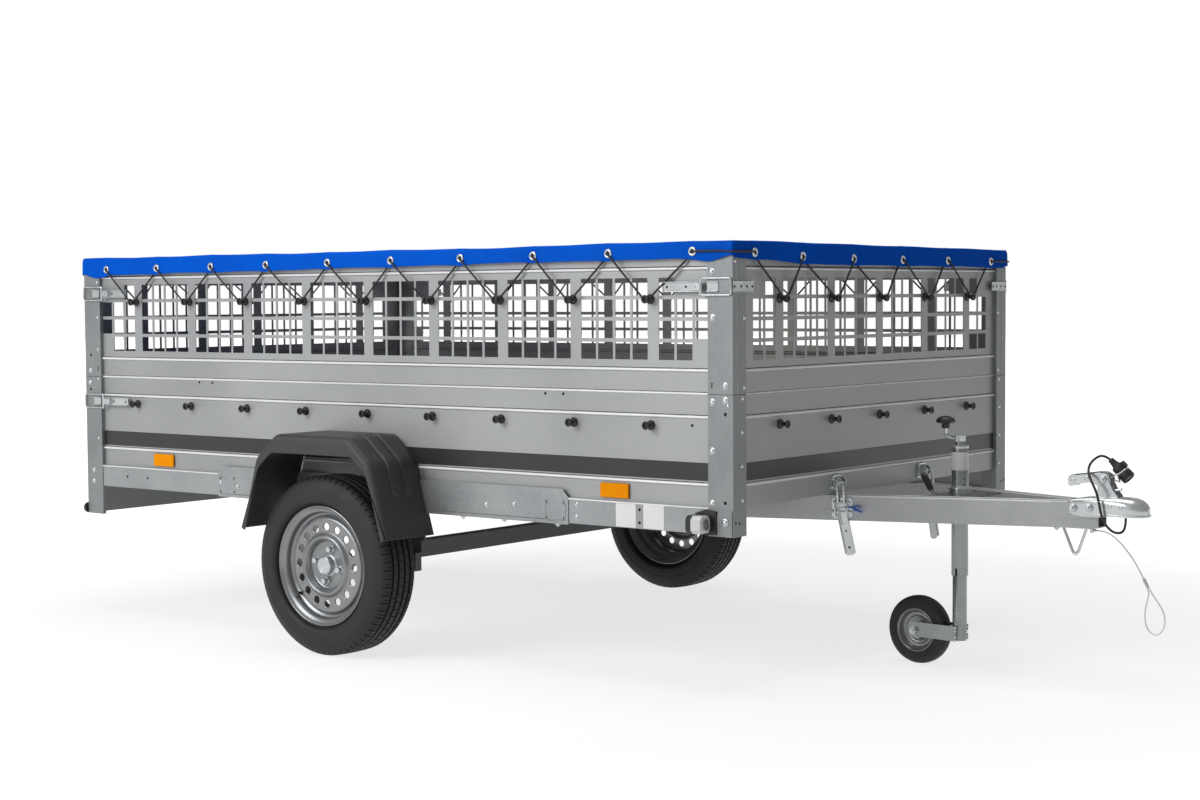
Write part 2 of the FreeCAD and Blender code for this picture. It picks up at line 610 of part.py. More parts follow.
# Mesh extension: a folded sheet with rows of windows between the hook bars
def hook_pitch(hooks):
    """Distance between the hooks, which keep the same margins to the box's corners."""
    if hooks == SIDE_HOOK_COUNT:
        return (size("box_length") - 2 * size("side_hook_margin")) / (hooks - 1)
    return (2 * HALF_WIDTH - 2 * size("end_hook_margin")) / (hooks - 1)


def window_width(hooks):
    bars = size("wide_bar") + (BAY_WINDOW_COUNT - 1) * size("thin_bar")
    return (hook_pitch(hooks) - bars) / BAY_WINDOW_COUNT


def window_starts(span, hooks, row):
    """Starts of the windows of one row, measured from the middle of a panel."""
    pitch = hook_pitch(hooks)
    window = window_width(hooks)
    step = window + size("thin_bar")
    half_bar = size("wide_bar") / 2
    first = -(hooks - 1) / 2 * pitch
    starts = []
    for bay in range(hooks - 1):
        for k in range(BAY_WINDOW_COUNT):
            starts.append(first + bay * pitch + half_bar + k * step)
    room = span / 2 + first - half_bar - size("board_wall")
    for k in range(min(END_WINDOW_COUNTS[row], int(room // step))):
        starts.append(-first + half_bar + k * step)
        starts.append(first - half_bar - k * step - window)
    return starts


def rectangle(x, z, width, height):
    corners = [Vector(x, 0, z), Vector(x + width, 0, z), Vector(x + width, 0, z + height),
               Vector(x, 0, z + height), Vector(x, 0, z)]
    return Part.makePolygon(corners)


def mesh_panel(span, hooks, bead_half, outside):
    """A panel whose outer face looks along -Y at the distance outside from the box's middle."""
    low = size("board_top")
    high = size("extension_top")
    wires = [rectangle(-span / 2, low, span, high - low)]
    for row in range(WINDOW_ROW_COUNT):
        sill = size("sill_height") + row * size("row_pitch")
        for start in window_starts(span, hooks, row):
            wires.append(rectangle(start, sill, window_width(hooks), size("window_height")))
    plate = Part.makeFace(wires, "Part::FaceMakerBullseye").extrude(Vector(0, size("panel_wall"), 0))
    rims = [Part.makeBox(span, size("rim_depth"), size("rim_wall"), Vector(-span / 2, 0, z))
            for z in (low, high - size("rim_wall"))]
    ribs = [Part.makeCylinder(size("bead_radius"), 2 * bead_half,
                              Vector(-bead_half, size("bead_sink"), size(level)), X_AXIS)
            for level in ("bead_high", "bead_crown")]
    panel = plate.multiFuse(rims + ribs).removeSplitter()
    panel.translate(Vector(0, -outside, 0))
    return panel


def about_box(shape, quarters):
    """Turns a shape made for the right side to another side, and moves it to the box."""
    turned = shape.copy()
    turned.rotate(ZERO, Z_AXIS, 90 * quarters)
    turned.translate(Vector(BOX_MIDDLE, 0, 0))
    return turned


def mesh_panels():
    side_span = size("box_length") - 2 * size("post_wall")
    side_bead = BOX_MIDDLE - size("post_side") - size("bead_end_gap")
    end_span = 2 * (FACE_HALF - size("board_wall"))
    end_bead = HALF_WIDTH - size("post_end") - size("bead_end_gap")
    side = mesh_panel(side_span, SIDE_HOOK_COUNT, side_bead, FACE_HALF)
    end = mesh_panel(end_span, END_HOOK_COUNT, end_bead, BOX_MIDDLE - size("post_wall"))
    for label, shape, quarters in (("mesh_right", side, 0), ("mesh_front", end, 1),
                                   ("mesh_left", side, 2), ("mesh_rear", end, 3)):
        solid_piece(label, about_box(shape, quarters))


# Cord hooks: turned plastic knobs in rows on the boards and on the mesh
def hook_shape():
    radii = [size("hook_base_radius"), size("hook_stem_radius"), size("hook_head_radius")]
    length = size("hook_length")
    head = length - size("hook_head")
    outline_points = [Vector(0, 0, 0), Vector(radii[0], 0, 0), Vector(radii[1], -size("hook_base"), 0),
                      Vector(radii[1], -head + size("hook_head"), 0), Vector(radii[2], -head, 0),
                      Vector(radii[2], -length, 0), Vector(0, -length, 0), Vector(0, 0, 0)]
    return Part.Face(Part.makePolygon(outline_points)).revolve(ZERO, Y_AXIS, 360)


def hook_row(hooks, outside, level):
    """Hooks along the right side at a distance from the box's middle."""
    pitch = hook_pitch(hooks)
    row = []
    for k in range(hooks):
        knob = hook_shape()
        knob.translate(Vector((k - (hooks - 1) / 2) * pitch, -outside, level))
        row.append(knob)
    return row


def cord_hooks():
    low = size("hook_low")
    high = size("hook_high")
    end_face = BOX_MIDDLE - size("post_wall")
    lower = []
    upper = []
    for quarters in range(4):
        on_side = quarters % 2 == 0
        hooks = SIDE_HOOK_COUNT if on_side else END_HOOK_COUNT
        outside = FACE_HALF if on_side else end_face
        upper += [about_box(knob, quarters) for knob in hook_row(hooks, outside, high)]
        if quarters != 3:
            lower += [about_box(knob, quarters) for knob in hook_row(hooks, outside, low)]
    solid_piece("hooks_upper", Part.makeCompound(upper))
    solid_piece("hooks_lower", Part.makeCompound(lower))
    tail = [about_box(knob, 3) for knob in hook_row(END_HOOK_COUNT, BOX_MIDDLE, low)]
    solid_piece("tailgate_hooks", Part.makeCompound(tail))


# Cover: a shallow lid of sheet over the extension, and its lacing to the upper hooks
def cover():
    gap = size("cover_gap")
    wall = size("cover_wall")
    bottom = size("skirt_bottom")
    inside = size("cover_inside")
    outer = Part.makeBox(size("box_length") + 2 * (gap + wall), 2 * HALF_WIDTH + 2 * (gap + wall),
                         inside + wall - bottom,
                         Vector(-gap - wall, -HALF_WIDTH - gap - wall, bottom))
    room = Part.makeBox(size("box_length") + 2 * gap, 2 * HALF_WIDTH + 2 * gap,
                        inside - bottom + size("overrun"),
                        Vector(-gap, -HALF_WIDTH - gap, bottom - size("overrun")))
    solid_piece("cover", outer.cut(room))


def strand(start, end):
    radius = size("lace_radius")
    way = end - start
    return Part.makeCylinder(radius, way.Length, start, way)


def lacing_row(hooks, outside, over_both):
    """Legs of the elastic from eyelets half way between the hooks, over or behind the skirt."""
    pitch = hook_pitch(hooks)
    groove = size("hook_groove")
    foot_z = size("hook_high") + size("lace_hook_rise")
    eye_z = size("eyelet_height")
    aside = size("hook_stem_radius") + size("lace_radius") + size("lace_hook_play")
    outer = size("lace_outer") - FACE_HALF
    inner = size("lace_inner") - FACE_HALF
    legs = []
    for k in range(hooks):
        hook_x = (k - (hooks - 1) / 2) * pitch
        for way, over in zip((-1, 1), over_both[k]):
            stand = outer if over else inner
            eye = Vector(hook_x + way * pitch / 2, -outside - stand, eye_z)
            legs.append(strand(eye, Vector(hook_x + way * aside, -outside - groove, foot_z)))
    return legs


def lacing():
    right = [about_box(leg, 0) for leg in lacing_row(SIDE_HOOK_COUNT, FACE_HALF, SIDE_OVER)]
    legs = right + [leg.mirror(ZERO, Y_AXIS) for leg in right]
    for quarters in (1, 3):
        row = lacing_row(END_HOOK_COUNT, BOX_MIDDLE - size("post_wall"), END_OVER)
        legs += [about_box(leg, quarters) for leg in row]
    solid_piece("cover_lacing", Part.makeCompound(legs))


# Corner latches: a long strap with its lever on the side face, and a short one round the front corner
def latch(reach, length, level, at_front):
    """A strap on the right side that ends at the corner, with a foot on the panel behind it."""
    wall = size("latch_wall")
    height = size("latch_height")
    start = size("box_length") - length if at_front else 0.0
    foot_x = start if at_front else length - size("latch_foot")
    lever_x = start + size("latch_lever_inset")
    if not at_front:
        lever_x = length - size("latch_foot") - size("latch_lever")
    parts = [Part.makeBox(length, wall, height, Vector(start, -HALF_WIDTH - wall, level - height / 2)),
             Part.makeBox(size("latch_foot"), size("post_wall"), size("latch_foot_height"),
                          Vector(foot_x, -HALF_WIDTH, level - size("latch_foot_height") / 2)),
             Part.makeBox(size("latch_lever"), size("latch_lever_depth"), size("latch_lever_height"),
                          Vector(lever_x, -HALF_WIDTH - wall - size("latch_lever_depth"),
                                 level - size("latch_lever_height") / 2))]
    if reach:
        parts.append(Part.makeBox(wall, reach + wall, height,
                                  Vector(size("box_length"), -HALF_WIDTH - wall, level - height / 2)))
    solid = parts[0].multiFuse(parts[1:]).removeSplitter()
    return solid


def corner_latches():
    right = [latch(size("latch_end_length"), size("latch_front_length"), size("latch_front_height"), True),
             latch(0.0, size("latch_rear_length"), size("latch_rear_height"), False),
             latch(0.0, size("latch_rear_length"), size("latch_low_height"), False)]
    left = [solid.mirror(ZERO, Y_AXIS) for solid in right]
    solid_piece("corner_latches", Part.makeCompound(right + left))


# Side reflectors and front marker lamps
def side_lights():
    row = []
    for centre in ("reflector_tail_inset", "reflector_nose"):
        row.append(block("reflector", "reflector_length", "reflector_depth", "reflector_height",
                         centre + " - reflector_length / 2", "-%s - reflector_depth" % FACE_TEXT,
                         "reflector_bottom"))
    piece("side_reflectors", both_sides("reflectors", group("reflector_pair", row)))
    plate = block("marker_base", "marker_plate_nose - marker_plate_tail", "marker_plate",
                  "marker_height + 2 * marker_plate_margin", "marker_plate_tail",
                  "-box_half - marker_plate", "marker_bottom - marker_plate_margin")
    piece("marker_brackets", both_sides("bases", plate))
    lens = block("marker_lens", "marker_side", "marker_side", "marker_height", "marker_tail",
                 "-box_half - marker_plate - marker_side", "marker_bottom")
    piece("marker_lamps", both_sides("lenses", lens))


# Tipping hinge: a cross shaft between the rails through the arms' bushes
def tip_shaft():
    half = "(box_half - 2 * rail_wall)"
    piece("tip_shaft", rod("shaft", "shaft_radius", "2 * " + half, "axle_place", "-" + half, "hinge_height",
                           Y_AXIS))


# Axle: a square beam on two seats under the rails, with trailing arms and stub spindles
def axle():
    beam_x = "(axle_place + beam_lead)"
    beam = block("beam", "beam_side", "2 * beam_half", "beam_side", beam_x + " - beam_side / 2",
                 "-beam_half", "beam_bottom")
    sides = []
    for side in ("-", ""):
        swing_y = "-beam_half - swing_wall" if side else "beam_half"
        seat_low = "beam_bottom + beam_side"
        arm = block("swing", "beam_lead + beam_side / 2 + swing_height / 2", "swing_wall", "swing_height",
                    "axle_place - swing_height / 2", swing_y, "tyre_radius - swing_height / 2")
        stub_y = "-stub_end" if side else "beam_half"
        stub = rod("stub", "stub_radius", "stub_end - beam_half", "axle_place", stub_y, "tyre_radius", Y_AXIS)
        post = block("seat_post", "seat_length / 2", "seat_wall", "rail_bottom - (%s)" % seat_low,
                     beam_x + " - seat_length / 4",
                     "-beam_half" if side else "beam_half - seat_wall", seat_low)
        shelf = block("seat_shelf", "seat_length", "box_half - rail_wall - beam_half + seat_wall",
                      "seat_wall", beam_x + " - seat_length / 2",
                      "-(box_half - rail_wall)" if side else "beam_half - seat_wall",
                      "rail_bottom - seat_wall")
        sides += [arm, stub, post, shelf]
    piece("axle", join("axle_solid", [beam] + sides))


# Wheels: tyre, rim with vented disc, and hub, turned about Y
def tyre_points():
    """Section of the tyre from the outer bead round to the inner one."""
    half = "tyre_width / 2"
    points = []
    for sign in ("", "-"):
        side = []
        for along, up in TYRE_SHARES:
            radius = "rim_seat_radius + tyre_play + (tyre_radius - rim_seat_radius - tyre_play) * %s" % up
            side.append((radius, "%s(%s * %s)" % (sign, half, along)))
        points += side if sign == "" else side[::-1]
    return points


def wheel(side):
    """One wheel; its outer face looks away from the box."""
    hand = "right" if side == "-" else "left"
    turn = 180 if side == "-" else 0
    centre = side + "wheel_half_track"
    tyre = spun("tyre", tyre_points())
    inner = "rim_seat_radius - rim_wall"
    rim = spun("rim", [("rim_flange_radius", "rim_half_width"),
                       ("rim_flange_radius", "rim_half_width - rim_wall"),
                       ("rim_seat_radius", "rim_bead_half"),
                       ("rim_seat_radius", "rim_half_width / 2"),
                       ("rim_well_radius", "rim_well_half"),
                       ("rim_well_radius", "-rim_well_half"),
                       ("rim_seat_radius", "-rim_half_width / 2"),
                       ("rim_seat_radius", "-rim_bead_half"),
                       ("rim_flange_radius", "-(rim_half_width - rim_wall)"),
                       ("rim_flange_radius", "-rim_half_width"),
                       (inner, "-rim_bead_half - rim_wall"),
                       (inner, "-rim_half_width / 2"),
                       ("rim_well_radius - rim_wall", "-rim_well_half"),
                       ("rim_well_radius - rim_wall", "disc_place - disc_wall"),
                       ("crest_radius + crest_rise", "disc_place - disc_wall"),
                       ("crest_radius", "disc_place + crest_rise - disc_wall"),
                       ("dish_radius", "dish_place - disc_wall"),
                       ("centre_radius", "dish_place - disc_wall"),
                       ("centre_radius", "dish_place"),
                       ("dish_radius", "dish_place"),
                       ("crest_radius", "disc_place + crest_rise"),
                       ("crest_radius + crest_rise", "disc_place"),
                       (inner, "disc_place"),
                       (inner, "rim_bead_half + rim_wall")])
    ring_of_holes(rim, "vent", "vent_radius", "vent_circle", VENT_COUNT)
    face = "(dish_place - disc_wall)"
    bore = "(stub_radius + hub_play)"
    hub = spun("hub", [(bore, face + " - hub_depth"), ("hub_barrel", face + " - hub_depth"),
                       ("hub_barrel", face + " - hub_flange"), ("hub_radius", face + " - hub_flange"),
                       ("hub_radius", face), ("cap_radius", face),
                       ("cap_radius", face + " + cap_rise"), ("0", face + " + cap_rise"),
                       ("0", face + " + hub_flange / 2"), (bore, face + " + hub_flange / 2")])
    studs = [rod("stud", "stud_radius", "stud_length + disc_wall", "stud_circle * cos(%d)" % angle,
                 face, "stud_circle * sin(%d)" % angle, Y_AXIS)
             for angle in range(45, 405, 360 // STUD_COUNT)]
    drills = [rod("stud_hole", "stud_radius", "disc_wall + 2 * overrun", "stud_circle * cos(%d)" % angle,
                  face + " - overrun", "stud_circle * sin(%d)" % angle, Y_AXIS)
              for angle in range(45, 405, 360 // STUD_COUNT)]
    drilled = cut("rim_drilled", rim, join("stud_holes", drills))
    for label, thing in (("tyre_", tyre), ("rim_", drilled), ("hub_", join("hub_solid", [hub] + studs))):
        turned = group(label + "turned", [thing])
        turned_about(turned, Z_AXIS, turn)
        put(turned, "axle_place", centre, "tyre_radius")
        piece(label + hand, turned)


# Mudguards: a moulded arch open to the wheel, with a lip round its outer face
def guard_outline(low, shoulder, top, half, shoulder_half, top_half, y):
    middle = size("axle_place")
    points = [(-half, low), (-shoulder_half, shoulder), (-top_half, top), (top_half, top),
              (shoulder_half, shoulder), (half, low), (-half, low)]
    return Part.Face(Part.makePolygon([Vector(middle + x, y, z) for x, z in points]))


def guard_form(shoulder, top, half, shoulder_half, top_half, depth):
    """The arch's solid from Y zero to depth, its outer edge drawn in by the chamfer."""
    low = size("guard_bottom")
    in_by = size("guard_chamfer")
    body = guard_outline(low, shoulder, top, half, shoulder_half, top_half, 0)
    edge = guard_outline(low, shoulder, top, half, shoulder_half, top_half, depth - in_by)
    face = guard_outline(low, shoulder - in_by / 2, top - in_by, half - in_by, shoulder_half - in_by,
                         top_half - in_by / 2, depth)
    bevel = Part.makeLoft([edge.OuterWire, face.OuterWire], True, True)
    return body.extrude(Vector(0, depth - in_by, 0)).fuse(bevel).removeSplitter()


def mudguard(side):
    wall = size("guard_wall")
    start = HALF_WIDTH + size("plate_wall") - size("rail_wall") + size("guard_gap")
    deep = size("guard_outer") - start
    half = size("guard_half")
    shoulder = size("guard_shoulder")
    shoulder_half = size("guard_shoulder_half")
    top = size("guard_top")
    top_half = size("guard_top_half")
    outer = guard_form(shoulder, top, half, shoulder_half, top_half, deep)
    inner = guard_form(shoulder - wall / 2, top - wall, half - wall, shoulder_half - wall,
                       top_half - wall / 2, deep - wall)
    mouth = guard_outline(size("guard_bottom"), size("guard_lip_shoulder"), size("guard_lip_top"),
                          size("guard_lip_low_half"), size("guard_lip_shoulder_half"),
                          size("guard_lip_half"), 0)
    shell = outer.cut(inner).cut(mouth.extrude(Vector(0, deep + size("overrun"), 0)))
    shell.translate(Vector(0, start, 0))
    # above the axle plate the arch reaches in to the board's face
    reach = start - FACE_HALF - size("bead_radius") + size("bead_sink") - size("guard_gap")
    band = guard_outline(size("guard_bottom"), shoulder, top, half, shoulder_half, top_half, 0)
    hollow = guard_outline(size("guard_bottom"), shoulder - wall / 2, top - wall, half - wall,
                           shoulder_half - wall, top_half - wall / 2, 0)
    collar = band.cut(hollow).extrude(Vector(0, reach, 0))
    collar.translate(Vector(0, start - reach, 0))
    above = size("plate_top") + size("guard_clear")
    room = Part.makeBox(size("box_length"), 2 * HALF_WIDTH, size("extension_top"), Vector(0, 0, above))
    guard = shell.fuse(collar.common(room)).removeSplitter()
    return guard.mirror(ZERO, Y_AXIS) if side == "-" else guard


# Drawbar arms: square tubes from the tipping hinge to the coupling, mitred where they meet
def arm():
    """The right arm; the other is its mirror image."""
    length = "((arm_end - axle_place) * 2)"
    angle = "atan((arm_tail_half - arm_end_half) / (arm_end - axle_place))"
    slope = "((arm_tail_half - arm_end_half) / (arm_end - axle_place))"

    def along(name, width, height, inset_y, inset_z):
        bar = block(name, length, width, height, "axle_place - arm_tail - (%s) * %s" % (inset_y, slope),
                    "-arm_tail_half - arm_tail * %s + (%s)" % (slope, inset_y),
                    ARM_BOTTOM_TEXT + " + " + inset_z)
        bar.setExpression("Placement.Rotation.Angle", cells(angle))
        return bar

    outer = along("arm_tube", "arm_width", "arm_height", "0", "0")
    hollow = along("arm_room", "arm_width - 2 * arm_wall", "arm_height - 2 * arm_wall", "arm_wall",
                   "arm_wall")
    bush = rod("arm_bush", "bush_radius", "bush_length", "axle_place",
               "-arm_tail_half + arm_width / 2 - bush_length / 2", "hinge_height", Y_AXIS)
    solid = join("arm_solid", [cut("arm_hollow", outer, hollow), bush])
    tall = "arm_height + 2 * overrun"
    low = ARM_BOTTOM_TEXT + " - overrun"
    tools = [block("arm_past_middle", length, "2 * box_half", tall, "axle_place", "0", low),
             block("arm_past_end", "arm_end", "2 * box_half", tall, "arm_end", "-2 * box_half", low),
             block("arm_flank", "arm_end", "2 * box_half", tall, "coupling_tail - overrun / 4",
                   "-2 * box_half - cheek_half + cheek_gap", "cheek_bottom - cheek_gap"),
             rod("arm_bore", "shaft_radius + shaft_play", "bush_length + 2 * overrun", "axle_place",
                 "-arm_tail_half - bush_length", "hinge_height", Y_AXIS)]
    return cut("arm_trimmed", solid, join("arm_tools", tools))


def drawbar_arms():
    right = arm()
    piece("arm_right", right)
    piece("arm_left", mirrored("arm_mirror", right))


def arm_inner(x):
    """Distance of the arms' inner faces from the middle at a place along the trailer."""
    outer = size("arm_end_half") + ARM_SLOPE * (size("arm_end") - x)
    return outer - size("arm_width") / math.cos(math.radians(ARM_ANGLE))


def arm_outer(x):
    return size("arm_end_half") + ARM_SLOPE * (size("arm_end") - x)


# Jockey clamp: a plate across the arms with a split collar and its lever
def jockey_clamp():
    rear = size("cross_tail")
    front = size("cross_nose")
    wall = size("cross_wall")
    place = Vector(size("jockey_place"), 0, 0)
    corners = [(rear, -arm_inner(rear)), (front, -arm_inner(front)), (front, arm_inner(front)),
               (rear, arm_inner(rear)), (rear, -arm_inner(rear))]
    plate = Part.Face(Part.makePolygon([Vector(x, y, ARM_TOP - wall) for x, y in corners]))
    solid = plate.extrude(Vector(0, 0, wall))
    bore = size("tube_radius") + size("clamp_play")
    low = size("clamp_bottom")
    high = size("clamp_top")
    collar = Part.makeCylinder(bore + size("clamp_wall"), high - low, place + Vector(0, 0, low))
    lever_start = place + Vector(-bore - size("lever_radius"), -bore - size("lever_radius"), ARM_TOP)
    lever_way = Vector(-size("lever_reach"), -size("lever_reach") / 2, 0)
    lever = Part.makeCylinder(size("lever_radius"), lever_way.Length, lever_start, lever_way)
    knee = Part.makeSphere(size("lever_radius"), lever_start + lever_way)
    grip_way = Vector(-size("grip_reach"), 0, size("grip_rise"))
    grip = Part.makeCylinder(size("grip_radius"), grip_way.Length, lever_start + lever_way, grip_way)
    solid = solid.multiFuse([collar, lever, knee, grip])
    hole = Part.makeCylinder(bore, high - low + 2 * size("overrun"),
                             place + Vector(0, 0, low - size("overrun")))
    solid_piece("jockey_clamp", solid.cut(hole))


# Jockey tube with its cap, and the crank that turns the screw inside it
def jockey_tube():
    bore = "(tube_radius - tube_wall)"
    outer = rod("tube_outer", "tube_radius", "tube_top - tube_bottom", "jockey_place", "0", "tube_bottom")
    neck = rod("tube_cap", "cap_neck_radius", "cap_height", "jockey_place", "0", "tube_top")
    room = rod("tube_room", bore, "tube_top - tube_bottom - tube_wall + overrun", "jockey_place", "0",
               "tube_bottom - overrun")
    hole = rod("tube_hole", "screw_radius + nut_play", "cap_height + tube_wall + 2 * overrun", "jockey_place",
               "0", "tube_top - tube_wall - overrun")
    solid = join("tube_solid", [outer, neck])
    piece("jockey_tube", cut("tube_bored", solid, join("tube_tools", [room, hole])))


def jockey_crank():
    top = "(tube_top + cap_height + nut_play)"
    screw = rod("screw", "screw_radius", "%s - screw_bottom" % top, "jockey_place", "0", "screw_bottom")
    disc = rod("crank_boss", "cap_neck_radius", "boss_height", "jockey_place", "0", top)
    arm_rod = rod("crank_arm", "crank_radius", "crank_reach", "jockey_place - crank_reach", "0",
                  top + " + boss_height / 2", X_AXIS)
    base = top + " + crank_pin + boss_height / 2"
    pin = rod("crank_pin", "pin_shaft_radius", "crank_pin + boss_height / 2", "jockey_place - crank_reach",
              "0", top)
    neck = rod("knob_neck", "knob_neck_radius", "knob_height", "jockey_place - crank_reach", "0", base)
    head = rod("knob_head", "knob_radius", "knob_height / 2", "jockey_place - crank_reach", "0",
               base + " + knob_height / 2")
    piece("jockey_crank", join("crank_solid", [screw, disc, arm_rod, pin, neck, head]))


def jockey_nut():
    nut = rod("nut", "leg_radius", "nut_height", "jockey_place", "0", "leg_top")
    hole = rod("nut_hole", "screw_radius + nut_play", "nut_height + 2 * overrun", "jockey_place", "0",
               "leg_top - overrun")
    piece("jockey_nut", cut("nut_bored", nut, hole))


def castor(thing):
    """Turns a shape modelled straight behind the jockey tube to the way the castor stands."""
    thing.rotate(Vector(size("jockey_place"), 0, 0), Z_AXIS, -size("castor_turn"))
    return thing


# Jockey leg: the inner tube with the fork for the small wheel
def jockey_leg():
    place = size("jockey_place")
    axle_z = size("jockey_radius")
    low = axle_z - size("fork_drop")
    half = size("jockey_width") / 2 + size("fork_gap")
    outer = Part.makeCylinder(size("leg_radius"), size("leg_top") - low, Vector(place, 0, low))
    head = Part.makeBox(size("leg_radius") + size("fork_head"), 2 * (half + size("fork_wall")),
                        size("fork_height"),
                        Vector(place - size("leg_radius"), -half - size("fork_wall"), low))
    length = size("jockey_trail") + size("fork_end")
    plates = [Part.makeBox(length + size("fork_head"), size("fork_wall"), size("fork_height"),
                           Vector(place - length, y, low))
              for y in (-half - size("fork_wall"), half)]
    shank = 2 * (half + size("fork_wall"))
    bolt = Part.makeCylinder(size("bolt_radius"), shank,
                             Vector(place - size("jockey_trail"), -shank / 2, axle_z), Y_AXIS)
    heads = [Part.makeCylinder(size("bolt_head_radius"), size("bolt_head"),
                               Vector(place - size("jockey_trail"), y, axle_z), Y_AXIS)
             for y in (-shank / 2 - size("bolt_head"), shank / 2)]
    solid = outer.multiFuse([head] + plates + [bolt] + heads)
    room = Part.makeCylinder(size("leg_radius") - size("leg_wall"), size("leg_top") - low,
                             Vector(place, 0, low + size("fork_height")))
    solid_piece("jockey_leg", castor(solid.cut(room)))


def spun_shape(points, centre):
    """A solid turned round Y from radius and place, moved to a centre."""
    corners = [Vector(r, y, 0) for r, y in points]
    solid = Part.Face(Part.makePolygon(corners + corners[:1])).revolve(ZERO, Y_AXIS, 360)
    solid.translate(centre)
    return solid


def jockey_wheel():
    centre = Vector(size("jockey_place") - size("jockey_trail"), 0, size("jockey_radius"))
    half = size("jockey_width") / 2
    rim = size("jockey_rim_radius")
    tall = size("jockey_radius") - rim
    near = [(rim + tall * up, -half * along) for along, up in SMALL_TYRE_SHARES]
    tyre = spun_shape(near + [(radius, -place) for radius, place in near[::-1]], centre)
    wall = size("jockey_rim_wall")
    disc = size("jockey_disc_wall") / 2
    hub = size("jockey_hub_radius")
    bore = size("bolt_radius") + size("bolt_play")
    gap = size("tyre_play")
    hub_half = half + size("fork_gap") - size("nut_play")
    body = spun_shape([(bore, -hub_half), (hub, -hub_half), (hub, -disc), (rim - wall, -disc),
                       (rim - wall, -half), (rim - gap, -half), (rim - gap, half), (rim - wall, half),
                       (rim - wall, disc), (hub, disc), (hub, hub_half), (bore, hub_half)], centre)
    solid_piece("jockey_tyre", castor(tyre))
    solid_piece("jockey_rim", castor(body))


# Coupling: a pressed channel over the arms' ends with a ball socket in its nose
def coupling():
    rear = size("coupling_tail")
    half = size("cheek_half") + size("cheek_wall")
    low = size("cheek_bottom")
    top = ARM_TOP + size("crown_wall")
    ball = Vector(size("ball_place"), 0, size("ball_height"))
    channel = Part.makeBox(size("arm_end") - rear + half / 2, 2 * half, top - low, Vector(rear, -half, low))
    neck = Part.makeBox(size("ball_place") - size("arm_end"), 2 * size("neck_half"),
                        top - low, Vector(size("arm_end"), -size("neck_half"), low))
    dome = Part.makeSphere(size("head_radius"), ball)
    lip = Part.makeCylinder(size("head_radius"), size("lip_height"), Vector(ball.x, 0, low))
    solid = channel.multiFuse([neck, dome, lip])
    arms_room = Part.makeBox(size("arm_end") - rear + 2 * size("cheek_gap") + size("overrun"),
                             2 * size("cheek_half"), ARM_TOP - low + size("overrun"),
                             Vector(rear - size("overrun"), -size("cheek_half"), low - size("overrun")))
    socket = Part.makeSphere(size("ball_radius"), ball)
    mouth = Part.makeCylinder(size("ball_radius"), ball.z - low + size("overrun"),
                              Vector(ball.x, 0, low - size("overrun")))
    below = Part.makeBox(2 * HALF_WIDTH, 2 * HALF_WIDTH, size("overrun"),
                         Vector(rear, -HALF_WIDTH, low - size("overrun")))
    solid = solid.cut(arms_room).cut(socket).cut(mouth).cut(below)
    bolts = []
    for k in range(2):
        x = size("coupling_bolt_tail") + k * size("bolt_step")
        for y in (-half - size("coupling_bolt_head"), half):
            bolts.append(Part.makeCylinder(size("coupling_bolt_radius"), size("coupling_bolt_head"),
                                           Vector(x, y, size("coupling_bolt_height")), Y_AXIS))
    solid_piece("coupling", solid.multiFuse(bolts))


def coupling_handle():
    half = size("handle_half")
    wall = size("handle_wall")
    low = size("handle_bottom")
    bar = Part.makeBox(size("handle_length"), 2 * half, size("handle_height"),
                       Vector(size("handle_tail"), -half, low))
    room = Part.makeBox(size("handle_length"), 2 * (half - wall), size("handle_height"),
                        Vector(size("handle_tail") + wall, -half + wall, low - wall))
    ears = [Part.makeBox(size("ear_length"), size("ear_wall"),
                         size("ear_top") - ARM_TOP - size("crown_wall"),
                         Vector(size("ear_tail"), y, ARM_TOP + size("crown_wall")))
            for y in (-half - size("ear_wall"), half)]
    span = 2 * (half + size("ear_wall") + size("pivot_head"))
    pivot = Part.makeCylinder(size("pivot_radius"), span,
                              Vector(size("pivot_place"), -span / 2, size("pivot_height")), Y_AXIS)
    solid_piece("coupling_handle", bar.cut(room).multiFuse(ears + [pivot]))


# Rest hook: a bent rod on a small plate under the nose
def rest_hook():
    drop = size("rod_drop")
    radius = size("rod_radius")
    top = ARM_BOTTOM - size("hook_plate_wall")
    plate = Part.makeBox(size("hook_plate_nose") - size("hook_plate_tail"), 2 * size("hook_plate_half"),
                         size("hook_plate_wall"),
                         Vector(size("hook_plate_tail"), -size("hook_plate_half"), top))
    low = Vector(size("rod_low"), 0, top - drop)
    legs = []
    for x in (size("rod_tail"), size("rod_nose")):
        way = Vector(x, 0, top + size("hook_plate_wall") / 2) - low
        legs.append(Part.makeCylinder(radius, way.Length, low, way))
    lug = Part.makeBox(size("lug_length"), 2 * size("lug_half"), size("lug_drop"),
                       Vector(size("lug_place"), -size("lug_half"), top - size("lug_drop")))
    solid_piece("rest_hook", plate.multiFuse(legs + [Part.makeSphere(radius, low), lug]))


